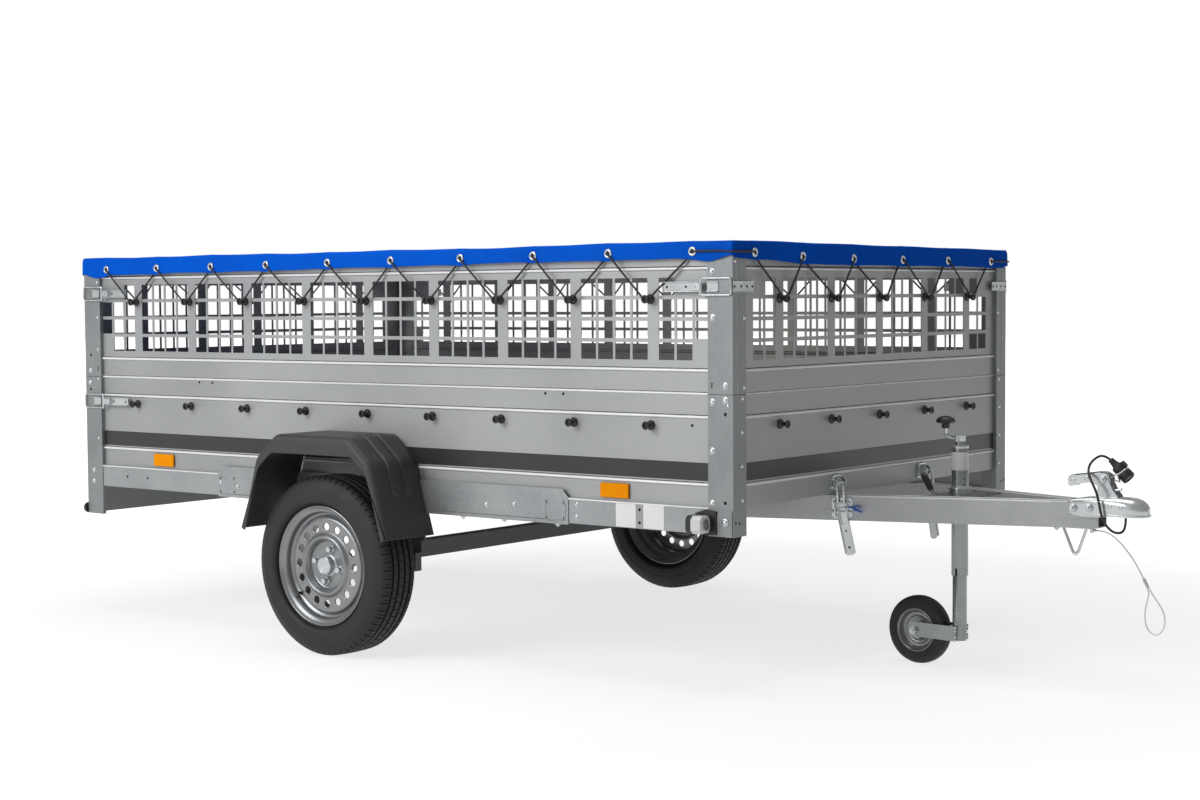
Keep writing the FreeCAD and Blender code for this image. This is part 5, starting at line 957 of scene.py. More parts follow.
# %% Mudguards
def rounded(points, radius, steps, runs):
    """A line of straight runs whose corners are quadratic curves; every run and corner has set steps."""
    points = np.array(points, float)
    out = []
    for k in range(len(points) - 1):
        start, end = points[k], points[k + 1]
        way = (end - start) / np.linalg.norm(end - start)
        first = start + (way * radius if k else 0)
        last = end - (way * radius if k < len(points) - 2 else 0)
        out.append(first + (last - first) * np.linspace(0, 1, runs[k])[:, None])
        if k < len(points) - 2:
            after = (points[k + 2] - end) / np.linalg.norm(points[k + 2] - end)
            t = np.linspace(0, 1, steps + 2)[1:-1, None]
            out.append((1 - t) ** 2 * last + 2 * t * (1 - t) * end + t ** 2 * (end + after * radius))
    return np.concatenate(out)


ARCH_RUNS = (40, 12, 30, 18, 110)
ARCH = rounded(((-0.314, 0.375), (-0.248, 0.598), (-0.158, 0.675), (0.158, 0.675), (0.248, 0.598),
                (0.314, 0.375)), 0.020, 6, ARCH_RUNS)
MOUTH = rounded(((-0.302, 0.375), (-0.227, 0.567), (-0.170, 0.613), (0.170, 0.613), (0.227, 0.567),
                 (0.302, 0.375)), 0.012, 6, ARCH_RUNS)
GUARD_FACE, EDGE_ROUND, RISE = 0.9845, 0.017, 0.0052
RIBS = ((0.8265, 0.8540), (0.8810, 0.9100))


def guard_shape(sign):
    """Rows of the section along the arch; ribs lift rows between their edges where the arch turns down."""
    tangent = np.gradient(ARCH, axis=0)
    tangent /= np.linalg.norm(tangent, axis=1)[:, None]
    outward = np.column_stack([-tangent[:, 1], tangent[:, 0]])
    ways = np.linspace(0.7775, 0.9655, 12).tolist()
    for low, high in RIBS:
        ways += [low - 0.0025, low, low + 0.004, high - 0.004, high, high + 0.0025]
    length = np.concatenate([[0], np.cumsum(np.linalg.norm(np.diff(ARCH, axis=0), axis=1))])
    top_start = length[np.argmax(ARCH[:, 0] > 0.118)]
    end = length[np.argmax((ARCH[:, 0] > 0.24) & (ARCH[:, 1] < 0.506))]
    rows = []

    def row(across, flat):
        rows.append(np.column_stack([flat[:, 0], np.full(len(flat), across), flat[:, 1]]))

    for across in sorted(ways):
        lift = np.zeros(len(ARCH))
        for low, high in RIBS:
            middle, half = (low + high) / 2, (high - low) / 2
            beside = abs(across - middle) / half
            tip = 0.012 * math.sqrt(max(0.0, 1 - min(beside, 1.0) ** 2))
            within = between(length, top_start - tip, top_start - tip + 0.006) * (
                1 - between(length, end + tip - 0.006, end + tip))
            lift += RISE * within * (1 if low - 1e-6 <= across <= high + 1e-6 else 0)
        row(across, ARCH + outward * (lift - RISE)[:, None])
    for turn in np.radians((22, 45, 67, 90)):
        flat = ARCH - outward * (RISE + EDGE_ROUND * (1 - math.cos(turn)))
        row(0.9675 + EDGE_ROUND * math.sin(turn), flat)
    face_start = ARCH - outward * (RISE + EDGE_ROUND)
    for share in (0.3, 0.7, 0.93, 1.0):
        row(GUARD_FACE + (0.0004 if share > 0.9 else 0), face_start * (1 - share) + MOUTH * share)
    row(GUARD_FACE - 0.010, MOUTH + 0.001 * outward)
    points = np.array(rows)
    points[..., 0] += AXLE[0]
    points[..., 1] *= sign
    return grid(points)


for hand, sign in HANDS:
    piece("guard_arch_" + hand, guard_shape(sign), "box", "guard_plastic", smooth=40, wall=0.0030,
          replaces=("mudguard_" + hand,))
print("guard rows", guard_shape(1.0)[0].shape)

# %% [markdown]
# The box is bolted and riveted together. A bolt head is a turned dome on a washer, a rivet a flatter
# dome, a nut a six-sided piece with the thread's end showing, and an empty hole a dark disc of painted
# shade. Tables of places, one for each face of the box, put them where the photograph shows them,
# on both sides alike.

# %% Bolts, rivets, nuts and holes
DOME = ((0, -0.5), (9.8, -0.5), (9.8, 1.0), (8.0, 1.4), (7.4, 3.2), (5.2, 5.0), (2.4, 5.8), (0, 6.0))
RIVET = ((0, -0.5), (5.6, -0.5), (5.2, 1.2), (3.4, 2.6), (0, 3.1))
WASHER = ((0, -0.5), (11.5, -0.5), (11.5, 1.2), (0, 1.2))
HEX = ((0, 1.0), (9.4, 1.0), (9.4, 6.0), (8.4, 7.0), (0, 7.0))
THREAD = ((0, 6.5), (4.3, 6.5), (4.3, 11.5), (3.5, 12.2), (0, 12.2))
HOLE = ((0, -0.3), (5.0, -0.3), (5.0, 0.25), (0, 0.25))
KINDS = {"dome": ((DOME, 16),), "rivet": ((RIVET, 12),), "hex": ((WASHER, 18), (HEX, 6), (THREAD, 10)),
         "hole": ((HOLE, 16),)}


def fixing(kind, place, out, size=1.0):
    """One bolt, rivet, nut or hole that looks along out."""
    return [turned(np.array(profile) * size / 1000, place, out, count) for profile, count in KINDS[kind]]


SIDE_FIXINGS = (
    ("dome", POST_HALF, 1.0, ((0.8916, 0.7959), (0.8910, 0.6654), (0.8903, 0.5251), (0.9332, 0.8400),
                              (0.9330, 0.8015), (0.8908, 1.1432), (0.8927, 1.0211), (-1.7149, 0.8390),
                              (-1.7183, 0.7975), (-1.7057, 0.4955), (-1.7068, 0.4573))),
    ("rivet", POST_HALF, 1.0, ((0.9416, 0.7880), (-1.6734, 1.1403), (-1.6748, 1.0196), (-1.6749, 0.9098),
                               (-1.6747, 0.8094), (-1.6786, 0.6046))),
    ("hole", POST_HALF, 1.0, ((0.9329, 0.7650), (0.9319, 0.5284), (-1.7133, 0.8907), (-1.7169, 0.7733))),
    ("hole", POST_HALF, 0.5, ((0.8897, 0.8462), (0.8897, 0.8410), (0.8897, 0.8359), (-1.6747, 0.8500),
                              (-1.6747, 0.8448), (-1.6747, 0.8396))),
    ("hole", RAIL_FACE, 0.9, ((-1.5329, 0.4790), (-1.4275, 0.4788), (0.6445, 0.4940), (0.6445, 0.4580))),
    ("dome", RAIL_FACE, 0.75, ((0.4235, 0.4950), (0.4235, 0.4600))),
    ("dome", 0.7865, 0.9, ((-1.0575, 0.4845), (-0.9782, 0.4745), (0.0875, 0.4760), (0.1945, 0.4820))),
    ("hole", FACE_HALF, 0.85, ((0.3046, 0.8059), (0.3705, 0.8063), (0.8165, 0.7312), (-1.1697, 0.8070),
                               (-1.1060, 0.8070))),
)
END_FIXINGS = (
    ("rivet", 1.05, ((0.7328, 0.8353), (0.7409, 0.8059), (0.7430, 0.7157), (0.7435, 0.6253), (0.7417, 0.5341),
                     (0.7743, 1.1721), (0.7314, 1.0205))),
    ("hole", 0.75, ((0.7744, 0.4755), (0.7563, 0.4729))),
)
metal, dark = [], []
for kind, face, size, places in SIDE_FIXINGS:
    for x, z in places:
        (dark if kind == "hole" else metal).extend(fixing(kind, (x, -face, z), (0, -1, 0), size))
metal += fixing("dome", (0.9340, -0.7900, 0.4760), (0, -1, 0), 1.1)
for kind, size, places in END_FIXINGS:
    for y, z in places:
        for x, way in ((FRONT, 1), (REAR, -1)):
            if way < 0 and z < 0.5:  # the rear face has no holes that low
                continue
            (dark if kind == "hole" else metal).extend(fixing(kind, (x, -y, z), (way, 0, 0), size))
for x in (-0.0225, 0.1375, 0.3375):
    metal += fixing("hex", (x, -0.762, 0.4370), (0, 0, -1), 0.9)
metal, dark = paired(metal), paired(dark)
piece("box_fixings", metal, "box", "zinc_bright", smooth=40)
# the open holes are dark discs of painted shade
piece("open_holes", dark, "box", "painted_shade_and_joint_black", smooth=40)
print("fixings", len(metal), "holes", len(dark))

# %% [markdown]
# Toggle latches draw the boards to the corner posts. Each has a lever folded from strip with both edges
# turned up, a wire clasp that reaches to the corner, and a hook plate inside it. The front ones end in a
# perforated strip round the corner. A folded strip is a U-shaped outline pushed along its length.

# %% Corner latches
def channel(start, along, up, out, length, width, depth, wall):
    """A U-shaped strip from start: its web lies on the face and its two edges stand out from it."""
    start, along, up, out = (np.array(v, float) for v in (start, along, up, out))
    half = width / 2
    outline = ((-half, 0), (half, 0), (half, depth), (half - wall, depth), (half - wall, wall),
               (-half + wall, wall), (-half + wall, depth), (-half, depth))
    return plate([start + up * u + out * w for u, w in outline], along, length)


def wire_loop(points, radius, sides=8, bend=0.006):
    """A bent wire: straight runs joined by short curves, closed on itself."""
    points = np.array(points, float)
    count = len(points)
    path = np.concatenate([corner_curve(points[k - 1], points[k], points[(k + 1) % count], bend, 5)
                           for k in range(count)])
    return swept(np.concatenate([path, path[:2]]), radius, sides)


def latch_shapes(corner_x, way, level):
    """A latch on the right side; way is +1 when its clasp points forward to the corner."""
    along, up, out = way * X_WAY, Z_WAY, -Y_WAY

    def at(u, v, w):
        return np.array((corner_x, -POST_HALF, level)) - along * u + up * v + out * w

    shapes = [channel(at(0.225, 0, 0.0002), along, up, out, 0.124, 0.0275, 0.0085, 0.0018)]
    corners = ((0.136, -0.010), (0.136, 0.010), (0.098, 0.010), (0.098, -0.010))
    shapes.append(plate([at(u, v, 0.0002) for u, v in corners], out, 0.0105))
    shapes.append(wire_loop([at(0.097, -0.0225, 0.0062), at(0.003, -0.0225, 0.0050),
                             at(0.003, 0.0225, 0.0050), at(0.097, 0.0225, 0.0062)], 0.0024))
    shapes.append(channel(at(0.081, 0, 0.0002), along, up, out, 0.036, 0.0270, 0.0075, 0.0018))
    shapes.append(turned_mm(((0, -26), (3.4, -26), (3.4, 26), (0, 26)), at(0.101, 0, 0.0062), up, 12))
    shapes += fixing("rivet", at(0.116, 0, 0.0107), out, 0.8)
    holes = [fixing("hole", at(u, 0, 0.0019), out, 0.75)[0] for u in (0.213, 0.150)]
    return shapes, holes


strips, strip_holes = [], []
for corner_x, way, level in ((FRONT, 1.0, 1.1045), (REAR, -1.0, 1.1010), (REAR, -1.0, 0.7338)):
    shapes, holes = latch_shapes(corner_x, way, level)
    strips += shapes
    strip_holes += holes
    reach = 0.098 if way > 0 else 0.030
    base = np.array((corner_x, -POST_HALF + 0.0005, level))
    strips.append(channel(base, (0, 1, 0), (0, 0, 1), (way, 0, 0), reach, 0.0285, 0.0050, 0.0016))
    for along in ((0.0070, 0.0375, 0.0655, 0.0910) if way > 0 else (0.018,)):
        strip_holes += fixing("hole", base + np.array((way * 0.0018, along, 0)), (way, 0, 0), 0.75)
strips, strip_holes = paired(strips), paired(strip_holes)
piece("toggle_latches", strips, "box", "zinc_bright", smooth=35, bevel=0.0005, replaces=("corner_latches",))
# the latches' holes are dark discs of painted shade
piece("latch_holes", strip_holes, "box", "painted_shade_and_joint_black")
print("latch parts", len(strips))

# %% [markdown]
# Lamps are lenses in dark housings. A lens is lofted: the same rounded outline at several depths, a
# little smaller each time, closed at both ends by drawing the last outline in to its own middle.

# %% Lamps, reflectors and the blank plate
def outline_loop(middle, first, second, half_first, half_second, corner, steps=5):
    """A rectangle with round corners in the plane of two directions; one step gives it cut corners."""
    loop = []
    for k, (a, b) in enumerate(((1, 1), (-1, 1), (-1, -1), (1, -1))):
        for turn in np.radians(90 * k + np.linspace(0, 90, steps)):
            u = a * (half_first - corner) + corner * math.cos(turn)
            v = b * (half_second - corner) + corner * math.sin(turn)
            loop.append(np.array(middle) + np.array(first) * u + np.array(second) * v)
    return np.array(loop)


def lofted(loops):
    """Outlines joined in order; the first and last are drawn in to their middles, so the skin is closed."""
    loops = [np.asarray(loop, float) for loop in loops]
    first, last = loops[0], loops[-1]
    rows = [np.repeat(first.mean(0)[None], len(first), 0), *loops,
            np.repeat(last.mean(0)[None], len(last), 0)]
    return grid(np.array(rows), wrap_columns=True)


def lens(middle, first, second, out, halves, depth, corner, steps=5, inset=0.0015):
    """A raised lens: straight sides for most of its depth and a rounded edge."""
    out = np.array(out, float)
    loops = []
    for w, less in ((0.0, 0.0), (0.70, 0.0), (0.88, 0.35), (1.0, 1.0)):
        loops.append(outline_loop(np.array(middle) + out * depth * w, first, second, halves[0] - inset * less,
                                  halves[1] - inset * less, max(corner - inset * less, 0.0005), steps))
    return lofted(loops)


LENS_PLACES = [(x, -FACE_HALF, 0.5420) for x in (-1.3485, 0.5545)]
amber = [lens(place, X_WAY, Z_WAY, -Y_WAY, (0.0495, 0.0205), 0.0075, 0.0040) for place in LENS_PLACES]
frames = [lens(place, X_WAY, Z_WAY, -Y_WAY, (0.0500, 0.0210), 0.0030, 0.0044) for place in LENS_PLACES]
amber, frames = (paired(shapes) for shapes in (amber, frames))
piece("side_lenses", amber, "box", "lamp_amber", smooth=40, replaces=("side_reflectors",))
piece("lens_frames", frames, "box", "black_plastic", smooth=40)

LAMP = np.array((0.8380, -0.8175, 0.4705))
POST_SKIN = -0.7862


def lamp_block(stations):
    """A stepped block with cut corners: a station is its distance forward, half width, half height, cut."""
    return lofted([outline_loop(LAMP + (x, 0, 0), Y_WAY, Z_WAY, half, tall, cut, 2)
                   for x, half, tall, cut in stations])


def on_post(outline, thickness):
    """A plate of (x, z) corners that lies on the side face of the front post."""
    return plate([(x, POST_SKIN, z) for x, z in outline], (0, -1, 0), thickness)


body = [lamp_block(((0.0, 0.0200, 0.0190, 0.0080), (0.0040, 0.0265, 0.0250, 0.0100),
                    (0.0180, 0.0275, 0.0255, 0.0100), (0.0205, 0.0270, 0.0250, 0.0100))),
        on_post(((0.8380, 0.4450), (0.8380, 0.4980), (0.8749, 0.5096), (0.9060, 0.5050), (0.9060, 0.4420),
                 (0.8700, 0.4400)), 0.0068)]
clear = [lamp_block(((0.0200, 0.0262, 0.0242, 0.0098), (0.0440, 0.0258, 0.0238, 0.0096),
                     (0.0500, 0.0240, 0.0220, 0.0090), (0.0525, 0.0195, 0.0175, 0.0070)))]
LAMP_RING = ((0, 52), (15, 52), (15, 54), (13.8, 54.8), (12.2, 54), (11.8, 53), (5, 53.2), (4.2, 54.8),
             (0, 55.2))
ring = [turned_mm(LAMP_RING, LAMP, X_WAY, 24)]
foot = [on_post(((0.9036, 0.4380), (0.9036, 0.4940), (0.9130, 0.5080), (0.9545, 0.5080), (0.9545, 0.4380)),
                0.0026)]
body, clear, ring, foot = (paired(shapes) for shapes in (body, clear, ring, foot))
piece("marker_housings", body, "box", "black_plastic", smooth=30, bevel=0.0006, replaces=("marker_brackets",))
piece("marker_lenses", clear, "box", "lamp_clear", smooth=30, bevel=0.0005, replaces=("marker_lamps",))
piece("marker_rings", ring, "box", "hub_steel", smooth=40)
piece("post_feet", foot, "box", "post_zinc_and_painted_shade", smooth=40, bevel=0.0005)

TAIL = np.array((REAR, -0.590, 0.412))
TAIL_DEPTH = 0.036


def tail_lens(y, half):
    """One field of the tail lamp, on the face of its housing."""
    return lens(TAIL + (-TAIL_DEPTH, y, 0), Y_WAY, Z_WAY, -X_WAY, (half, 0.044), 0.0138, 0.008)


shell = [lens(TAIL, Y_WAY, Z_WAY, -X_WAY, (0.100, 0.050), TAIL_DEPTH, 0.012, inset=0.003)]
reds = [tail_lens(0.062, 0.031), tail_lens(-0.006, 0.033)]
turn = [tail_lens(-0.068, 0.026)]
shell, reds, turn = (paired(shapes) for shapes in (shell, reds, turn))
piece("tail_housings", shell, "box", "black_plastic", smooth=40)
piece("tail_red_lenses", reds, "box", "lamp_red", smooth=40, replaces=("tail_lamps",))
piece("tail_amber_lenses", turn, "box", "lamp_amber", smooth=40)
rims = [lens((REAR - 0.0030, 0, 0.410 + z), Y_WAY, Z_WAY, -X_WAY, (0.2600, 0.0015), 0.0030, 0.0012)
        for z in (0.0535, -0.0535)]
piece("plate_rims", rims, "box", "black_plastic", smooth=40)
caps = [lens((REAR, -0.779, 0.362), Y_WAY, Z_WAY, -X_WAY, (0.0195, 0.0178), 0.0136, 0.0176, steps=9,
             inset=0.006)]
piece("post_caps", paired(caps), "box", "black_plastic", smooth=50, replaces=("post_buffers",))
print("lamps dressed")

# %% [markdown]
# The jockey wheel is raised by a crank on a screw. The crank is a bent rod with a knurled cap and a
# black knob with shallow lobes. A lobed or fluted part is a turned one whose radius also swings with the
# angle: radius times one plus depth times the cosine of the angle taken as many times as there are lobes.

# %% Jockey crank, tube dressing and clamp grip
JOCKEY = np.array((1.2105, 0.0, 0.0))


def fluted(profile, place, axis, lobes, depth, per_lobe=6):
    """A turned shape whose radius swings; profile rows are (radius, distance, share of the swing), in mm."""
    profile = np.array(profile, float) * (0.001, 0.001, 1)
    angle = np.linspace(0, 2 * np.pi, lobes * per_lobe, endpoint=False)
    radius = profile[:, :1] * (1 + depth * profile[:, 2:] * np.cos(lobes * angle))
    return grid(round_axis(radius, angle, profile[:, 1:2], place, axis), wrap_columns=True)


def bent_rod(points, radius, sides=12, bend=0.008):
    """A round rod along straight runs with curved corners."""
    points = np.array(points, float)
    out = [points[0]]
    for k in range(1, len(points) - 1):
        out += list(corner_curve(points[k - 1], points[k], points[k + 1], bend, 7))
    out.append(points[-1])
    return swept(out, radius, sides)


PIN = JOCKEY - (0.046, 0, 0)
cap = fluted(((0, 656.3, 0), (14, 656.3, 0), (15.2, 657.5, 1), (15.4, 673.5, 1), (14.2, 675, 0.4),
              (10.5, 675.6, 0), (0, 675.6, 0)), JOCKEY, (0, 0, 1), 24, 0.035)
handle_rod = bent_rod((JOCKEY + (0, 0, 0.6662), JOCKEY + (-0.030, 0, 0.6680), PIN + (0, 0, 0.6730),
                       PIN + (0, 0, 0.7000)), 0.0048, 12, 0.007)
piece("crank_rod", [cap, handle_rod], "drawbar", "zinc_bright", smooth=30, replaces=("jockey_crank",))
knob = fluted(((0, 693.5, 0), (9.5, 693.5, 0), (11.2, 695, 0.6), (11.4, 705, 0.6), (15, 707.2, 0.6),
               (21.5, 708.5, 0.8), (26.2, 711.8, 1), (27.2, 715, 1), (26.2, 719, 1), (21.5, 724, 0.8),
               (14, 727.8, 0.5), (6, 729.6, 0), (0, 730, 0)), PIN, (0, 0, 1), 7, 0.045, 8)
grip_foot = np.array((1.1473, -0.0462, 0.5080))
grip_way = np.array((-0.028, 0.0, 0.050)) / math.hypot(0.028, 0.050)
GRIP = ((0, 4), (6.2, 4), (8.6, 10), (9.8, 22), (10.4, 36), (9.8, 50), (7.8, 58), (4, 62), (0, 63))
grip = turned_mm(GRIP, grip_foot, grip_way, 18)
piece("crank_knob", knob, "drawbar", "black_plastic", smooth=40)
piece("clamp_grip", grip, "drawbar", "black_plastic", smooth=50)

COLLARS = (((20, 638.5), (24.7, 638.5), (24.9, 640), (24.9, 645), (24, 646.6), (20, 647)),
           ((23.5, 521), (28.5, 521.5), (26.2, 527.5), (24.7, 530), (23.5, 530)))
LABEL = ((23.6, 575.1), (24.25, 575.3), (24.25, 627.1), (23.6, 627.3))
collars = [turned_mm(collar, JOCKEY, Z_WAY, 40) for collar in COLLARS]
piece("tube_collars", collars, "drawbar", "zinc_bright", smooth=40)
piece("tube_label", turned_mm(LABEL, JOCKEY, Z_WAY, 48), "drawbar", "plate_white", smooth=40)
# the tube's holes and its notch are dark plates of painted shade
HOLE_WAY = np.array((0.819, -0.574, 0.0))
tube_holes = [fixing("hole", JOCKEY + 0.0240 * HOLE_WAY + (0, 0, z), HOLE_WAY, 0.45)[0]
              for z in (0.5679, 0.5499, 0.5348, 0.5203)]
NOTCH_WAY = np.array((0.052, -0.998, 0.0))
notch_side = np.cross(NOTCH_WAY, (0, 0, 1))
NOTCH = ((-0.0032, 0.2702), (0.0032, 0.2702), (0.0032, 0.2900), (0.0018, 0.2930), (-0.0018, 0.2930),
         (-0.0032, 0.2900))
notch = [JOCKEY + 0.0235 * NOTCH_WAY + notch_side * u + (0, 0, z) for u, z in NOTCH]
tube_holes.append(plate(notch, NOTCH_WAY, 0.0008))
piece("tube_openings", tube_holes, "drawbar", "painted_shade_and_joint_black", smooth=40)
print("crank, label and grip ready")

# %% [markdown]
# The small wheel has a solid rubber tyre with three rings on its side, and a stepped steel rim with a
# bright lip. Both are turned. The fork keeps its plain shape and gets its nut, washer and weld beads.

# %% Jockey wheel
TURN = math.radians(4.5)
JOCKEY_AXIS = np.array((math.sin(TURN), math.cos(TURN), 0.0))
FORK_WAY = np.array((math.cos(TURN), -math.sin(TURN), 0.0))
SMALL_CENTRE = JOCKEY - 0.135 * FORK_WAY + (0, 0, 0.1)
SMALL_TYRE = ((61.5, 21.0), (63.5, 23.6), (68.0, 25.0), (70.5, 24.8), (71.3, 23.6), (72.4, 24.8),
              (79.0, 25.0), (80.0, 23.8), (81.0, 24.7), (88.0, 23.8), (93.0, 21.6), (96.8, 17.6),
              (98.9, 12.0), (99.7, 6.0))
SMALL_RIM = ((6.3, 28.7), (14.8, 28.7), (15.0, 27.8), (15.0, 10.0), (17.0, 7.4), (24.0, 6.2), (30.0, 8.6),
             (34.0, 11.6), (38.0, 12.2), (41.0, 9.6), (43.0, 6.6), (47.0, 5.6), (51.0, 7.4), (54.5, 13.0),
             (57.5, 20.0), (59.2, 23.6), (61.2, 25.2), (63.0, 24.6), (63.6, 22.6), (62.6, 20.4), (61.4, 18.0))
AXLE_NUT = ((((0, -0.5), (13.6, -0.5), (13.6, 1.6), (0, 1.6)), 24),
            (((0, 1.0), (12.8, 1.0), (12.8, 9.4), (11.4, 10.6), (0, 10.6)), 6),
            (((0, 9.0), (5.8, 9.0), (5.8, 13.6), (4.8, 14.6), (0, 14.6)), 14))
WELD_BEAD = ((0, -2.0), (4.6, -2.0), (4.4, 1.0), (2.4, 2.6), (0, 3.0))


def both_sides(half, middle):
    """A half profile of (radius, distance) with its mirror image, joined across the middle."""
    half = [tuple(p) for p in half]
    return [(r, -a) for r, a in half] + middle + half[::-1]


small_tyre = turned_mm([(61.5, -21.0)] + both_sides(SMALL_TYRE, [(100.0, 0.0)]), SMALL_CENTRE, JOCKEY_AXIS,
                       72)
piece("small_tyre", small_tyre, "jockey_wheel", "tyre_black", smooth=40, replaces=("jockey_tyre",))
small_rim = turned_mm(both_sides(SMALL_RIM, [(61.4, 0.0)]) + [(6.3, -28.7)], SMALL_CENTRE, JOCKEY_AXIS, 64)
piece("small_rim", small_rim, "jockey_wheel", "rim_silver", smooth=40, replaces=("jockey_rim",))
nuts = []
for sign in (-1.0, 1.0):
    base = SMALL_CENTRE + JOCKEY_AXIS * sign * 0.033
    nuts += [turned_mm(profile, base, JOCKEY_AXIS * sign, count) for profile, count in AXLE_NUT]
    for z in (0.0850, 0.0940, 0.1120, 0.1215):
        spot = JOCKEY + FORK_WAY * 0.0045 + JOCKEY_AXIS * sign * 0.0325 + (0, 0, z)
        nuts.append(turned_mm(WELD_BEAD, spot, JOCKEY_AXIS * sign, 12))
piece("fork_nuts", nuts, "jockey_fork", "zinc_bright", smooth=35, bevel=0.0004)
print("jockey wheel dressed")

# %% [markdown]
# The coupling is pressed from one thick sheet: a channel over the arms that swells into a rounded nose
# over the ball, with a turned-out lip round the nose. Its skin is lofted through arches: each arch goes up
# one side, over a rounded top and down the other, and its width, top and corner change along the nose.

# %% Coupling
STATIONS = ((1.5745, 54.9, 480.5, 511.5, 6), (1.5775, 54.0, 475.5, 513.2, 6),
            (1.5850, 51.6, 470.5, 515.4, 8), (1.5980, 47.8, 467.0, 517.2, 9),
            (1.6170, 43.4, 464.6, 519.0, 10), (1.6500, 41.5, 466.8, 521.0, 13),
            (1.6720, 40.5, 470.6, 521.8, 16), (1.7000, 40.0, 474.0, 522.2, 20),
            (1.7250, 39.6, 475.8, 522.0, 24), (1.7440, 38.4, 476.5, 520.4, 26),
            (1.7590, 35.0, 476.5, 516.4, 25), (1.7700, 29.0, 476.5, 510.0, 21),
            (1.7770, 21.0, 476.5, 502.6, 15), (1.7812, 11.0, 476.5, 494.4, 8),
            (1.7826, 2.0, 476.5, 487.0, 1.5))


def arch_row(x, half, low, top, corner):
    """Points from the foot of one side over the top to the other foot: two lines and two quarter circles."""
    half, low, top, corner = half / 1000, low / 1000, top / 1000, corner / 1000
    side = np.linspace(low, top - corner, 6)
    turn = np.radians(np.linspace(0, 90, 8))[1:]
    y = np.concatenate([np.full(6, half), half - corner + corner * np.cos(turn),
                        np.linspace(half - corner, 0, 5)[1:]])
    z = np.concatenate([side, top - corner + corner * np.sin(turn), np.full(4, top)])
    crown = 0.0012 * (1 - (y / half) ** 2) * (z > top - corner)
    row = np.column_stack([np.full(len(y), x), -y, z + crown])
    return np.concatenate([row, (row * (1, -1, 1))[-2::-1]])


shell = np.array([arch_row(*station) for station in STATIONS])
piece("coupling_shell", grid(shell), "drawbar", "zinc_bright", smooth=60, wall=0.0035, replaces=("coupling",))


def arm_flank(x):
    """Distance of the arm's outer face from the middle: it closes in by 0.3195 for each metre forward."""
    return 0.0602 + (1.5525 - x) * 0.3195


# the arm's flank is closed behind the coupling's tail, and its two upper edges get thin near-white rods,
# a painted highlight
PATCH = ((1.5300, 0.4640), (1.6080, 0.4640), (1.6080, 0.5070), (1.5300, 0.5070))
patch = plate([(x, -arm_flank(x), z) for x, z in PATCH], (0, -1, 0), 0.0006)
edges = paired([swept([(x, inward - arm_flank(x), 0.5068) for x in np.linspace(0.962, 1.570, 6)], 0.0025, 8)
                for inward in (0.0021, 0.0451)])
piece("arm_patches", paired([patch]), "drawbar", "zinc_arm", smooth=30)
piece("arm_edge_highlights", edges, "drawbar", "painted_highlight_zinc", smooth=50)
LIP = ((1.6520, 42.4), (1.7000, 42.8), (1.7300, 42.6), (1.7480, 41.0), (1.7640, 36.6), (1.7755, 28.0),
       (1.7820, 17.0), (1.7845, 5.0))
lip_line = [(x, -y / 1000) for x, y in LIP] + [(x, y / 1000) for x, y in LIP[::-1]]
inner_line = [(x - 0.004, y * 0.82) for x, y in lip_line[::-1]]
lip = plate([(x, y, 0.4716) for x, y in lip_line + inner_line], (0, 0, 1), 0.0056)
socket = turned_mm(((25.4, -10.5), (25.4, 0), (22, 12.7), (12.7, 22), (0, 25.4), (0, 28.4),
                 (14.2, 24.6), (24.6, 14.2), (28.4, 0), (28.4, -10.5), (25.4, -10.5)), BALL, (0, 0, 1), 32)
piece("coupling_lip", [lip, socket], "drawbar", "zinc_bright", smooth=40, bevel=0.0012)
heads = []
for x, y, z in ((1.5840, 0.0512, 0.4913), (1.6280, 0.0429, 0.4939)):
    heads += fixing("hex", (x, -y, z), (0, -1, 0), 1.12)
for x, z in ((1.6878, 0.5000), (1.7181, 0.4985)):
    heads += fixing("dome", (x, -0.0398, z), (0, -1, 0), 0.6)

CHEEK = ((1.5585, 0.5478), (1.5530, 0.5530), (1.5525, 0.5655), (1.5560, 0.5745), (1.5630, 0.5802),
         (1.6000, 0.5850), (1.6306, 0.5900), (1.6450, 0.5922), (1.6600, 0.5905), (1.6715, 0.5835),
         (1.6765, 0.5730), (1.6750, 0.5610), (1.6690, 0.5520), (1.6560, 0.5475), (1.6430, 0.5490),
         (1.6320, 0.5560), (1.6150, 0.5605), (1.6000, 0.5580), (1.5800, 0.5545), (1.5680, 0.5482))
EAR = ((1.6340, 0.5180), (1.6395, 0.5400), (1.6440, 0.5600), (1.6465, 0.5720), (1.6510, 0.5810),
       (1.6585, 0.5850), (1.6665, 0.5825), (1.6715, 0.5750), (1.6745, 0.5640), (1.6850, 0.5430),
       (1.6990, 0.5260), (1.7000, 0.5180))
TOP_EDGE = CHEEK[2:11]
lever = [upright(CHEEK, y, 0.0025) for y in (-0.0165, 0.0140)]
web = np.array([[(x, y, z) for x, z in TOP_EDGE] for y in (-0.0165, 0.0165)])
web_low = web - (0, 0, 0.0026)
lever.append(grid(np.array([web[0], web[1], web_low[1], web_low[0], web[0]])))
ears = [upright(EAR, y, 0.0030) for y in (-0.0198, 0.0168)]
dimples = [turned_mm(((0, -1.0), (7.0, -1.0), (6.6, 0.6), (4.6, 1.4), (3.6, 0.7), (0, 0.5)), (x, -0.0165, z),
                     (0, -1, 0), 18) for x, z in ((1.5690, 0.5640), (1.6080, 0.5715))]
pivots = fixing("hex", (1.6580, -0.0198, 0.5705), (0, -1, 0), 1.05)
pivots += fixing("dome", (1.6580, 0.0198, 0.5705), (0, 1, 0), 1.2)
tab = bent_rod(((1.6790, -0.006, 0.5230), (1.6800, -0.006, 0.5400), (1.7060, -0.006, 0.5455)), 0.0042, 10,
               0.004)
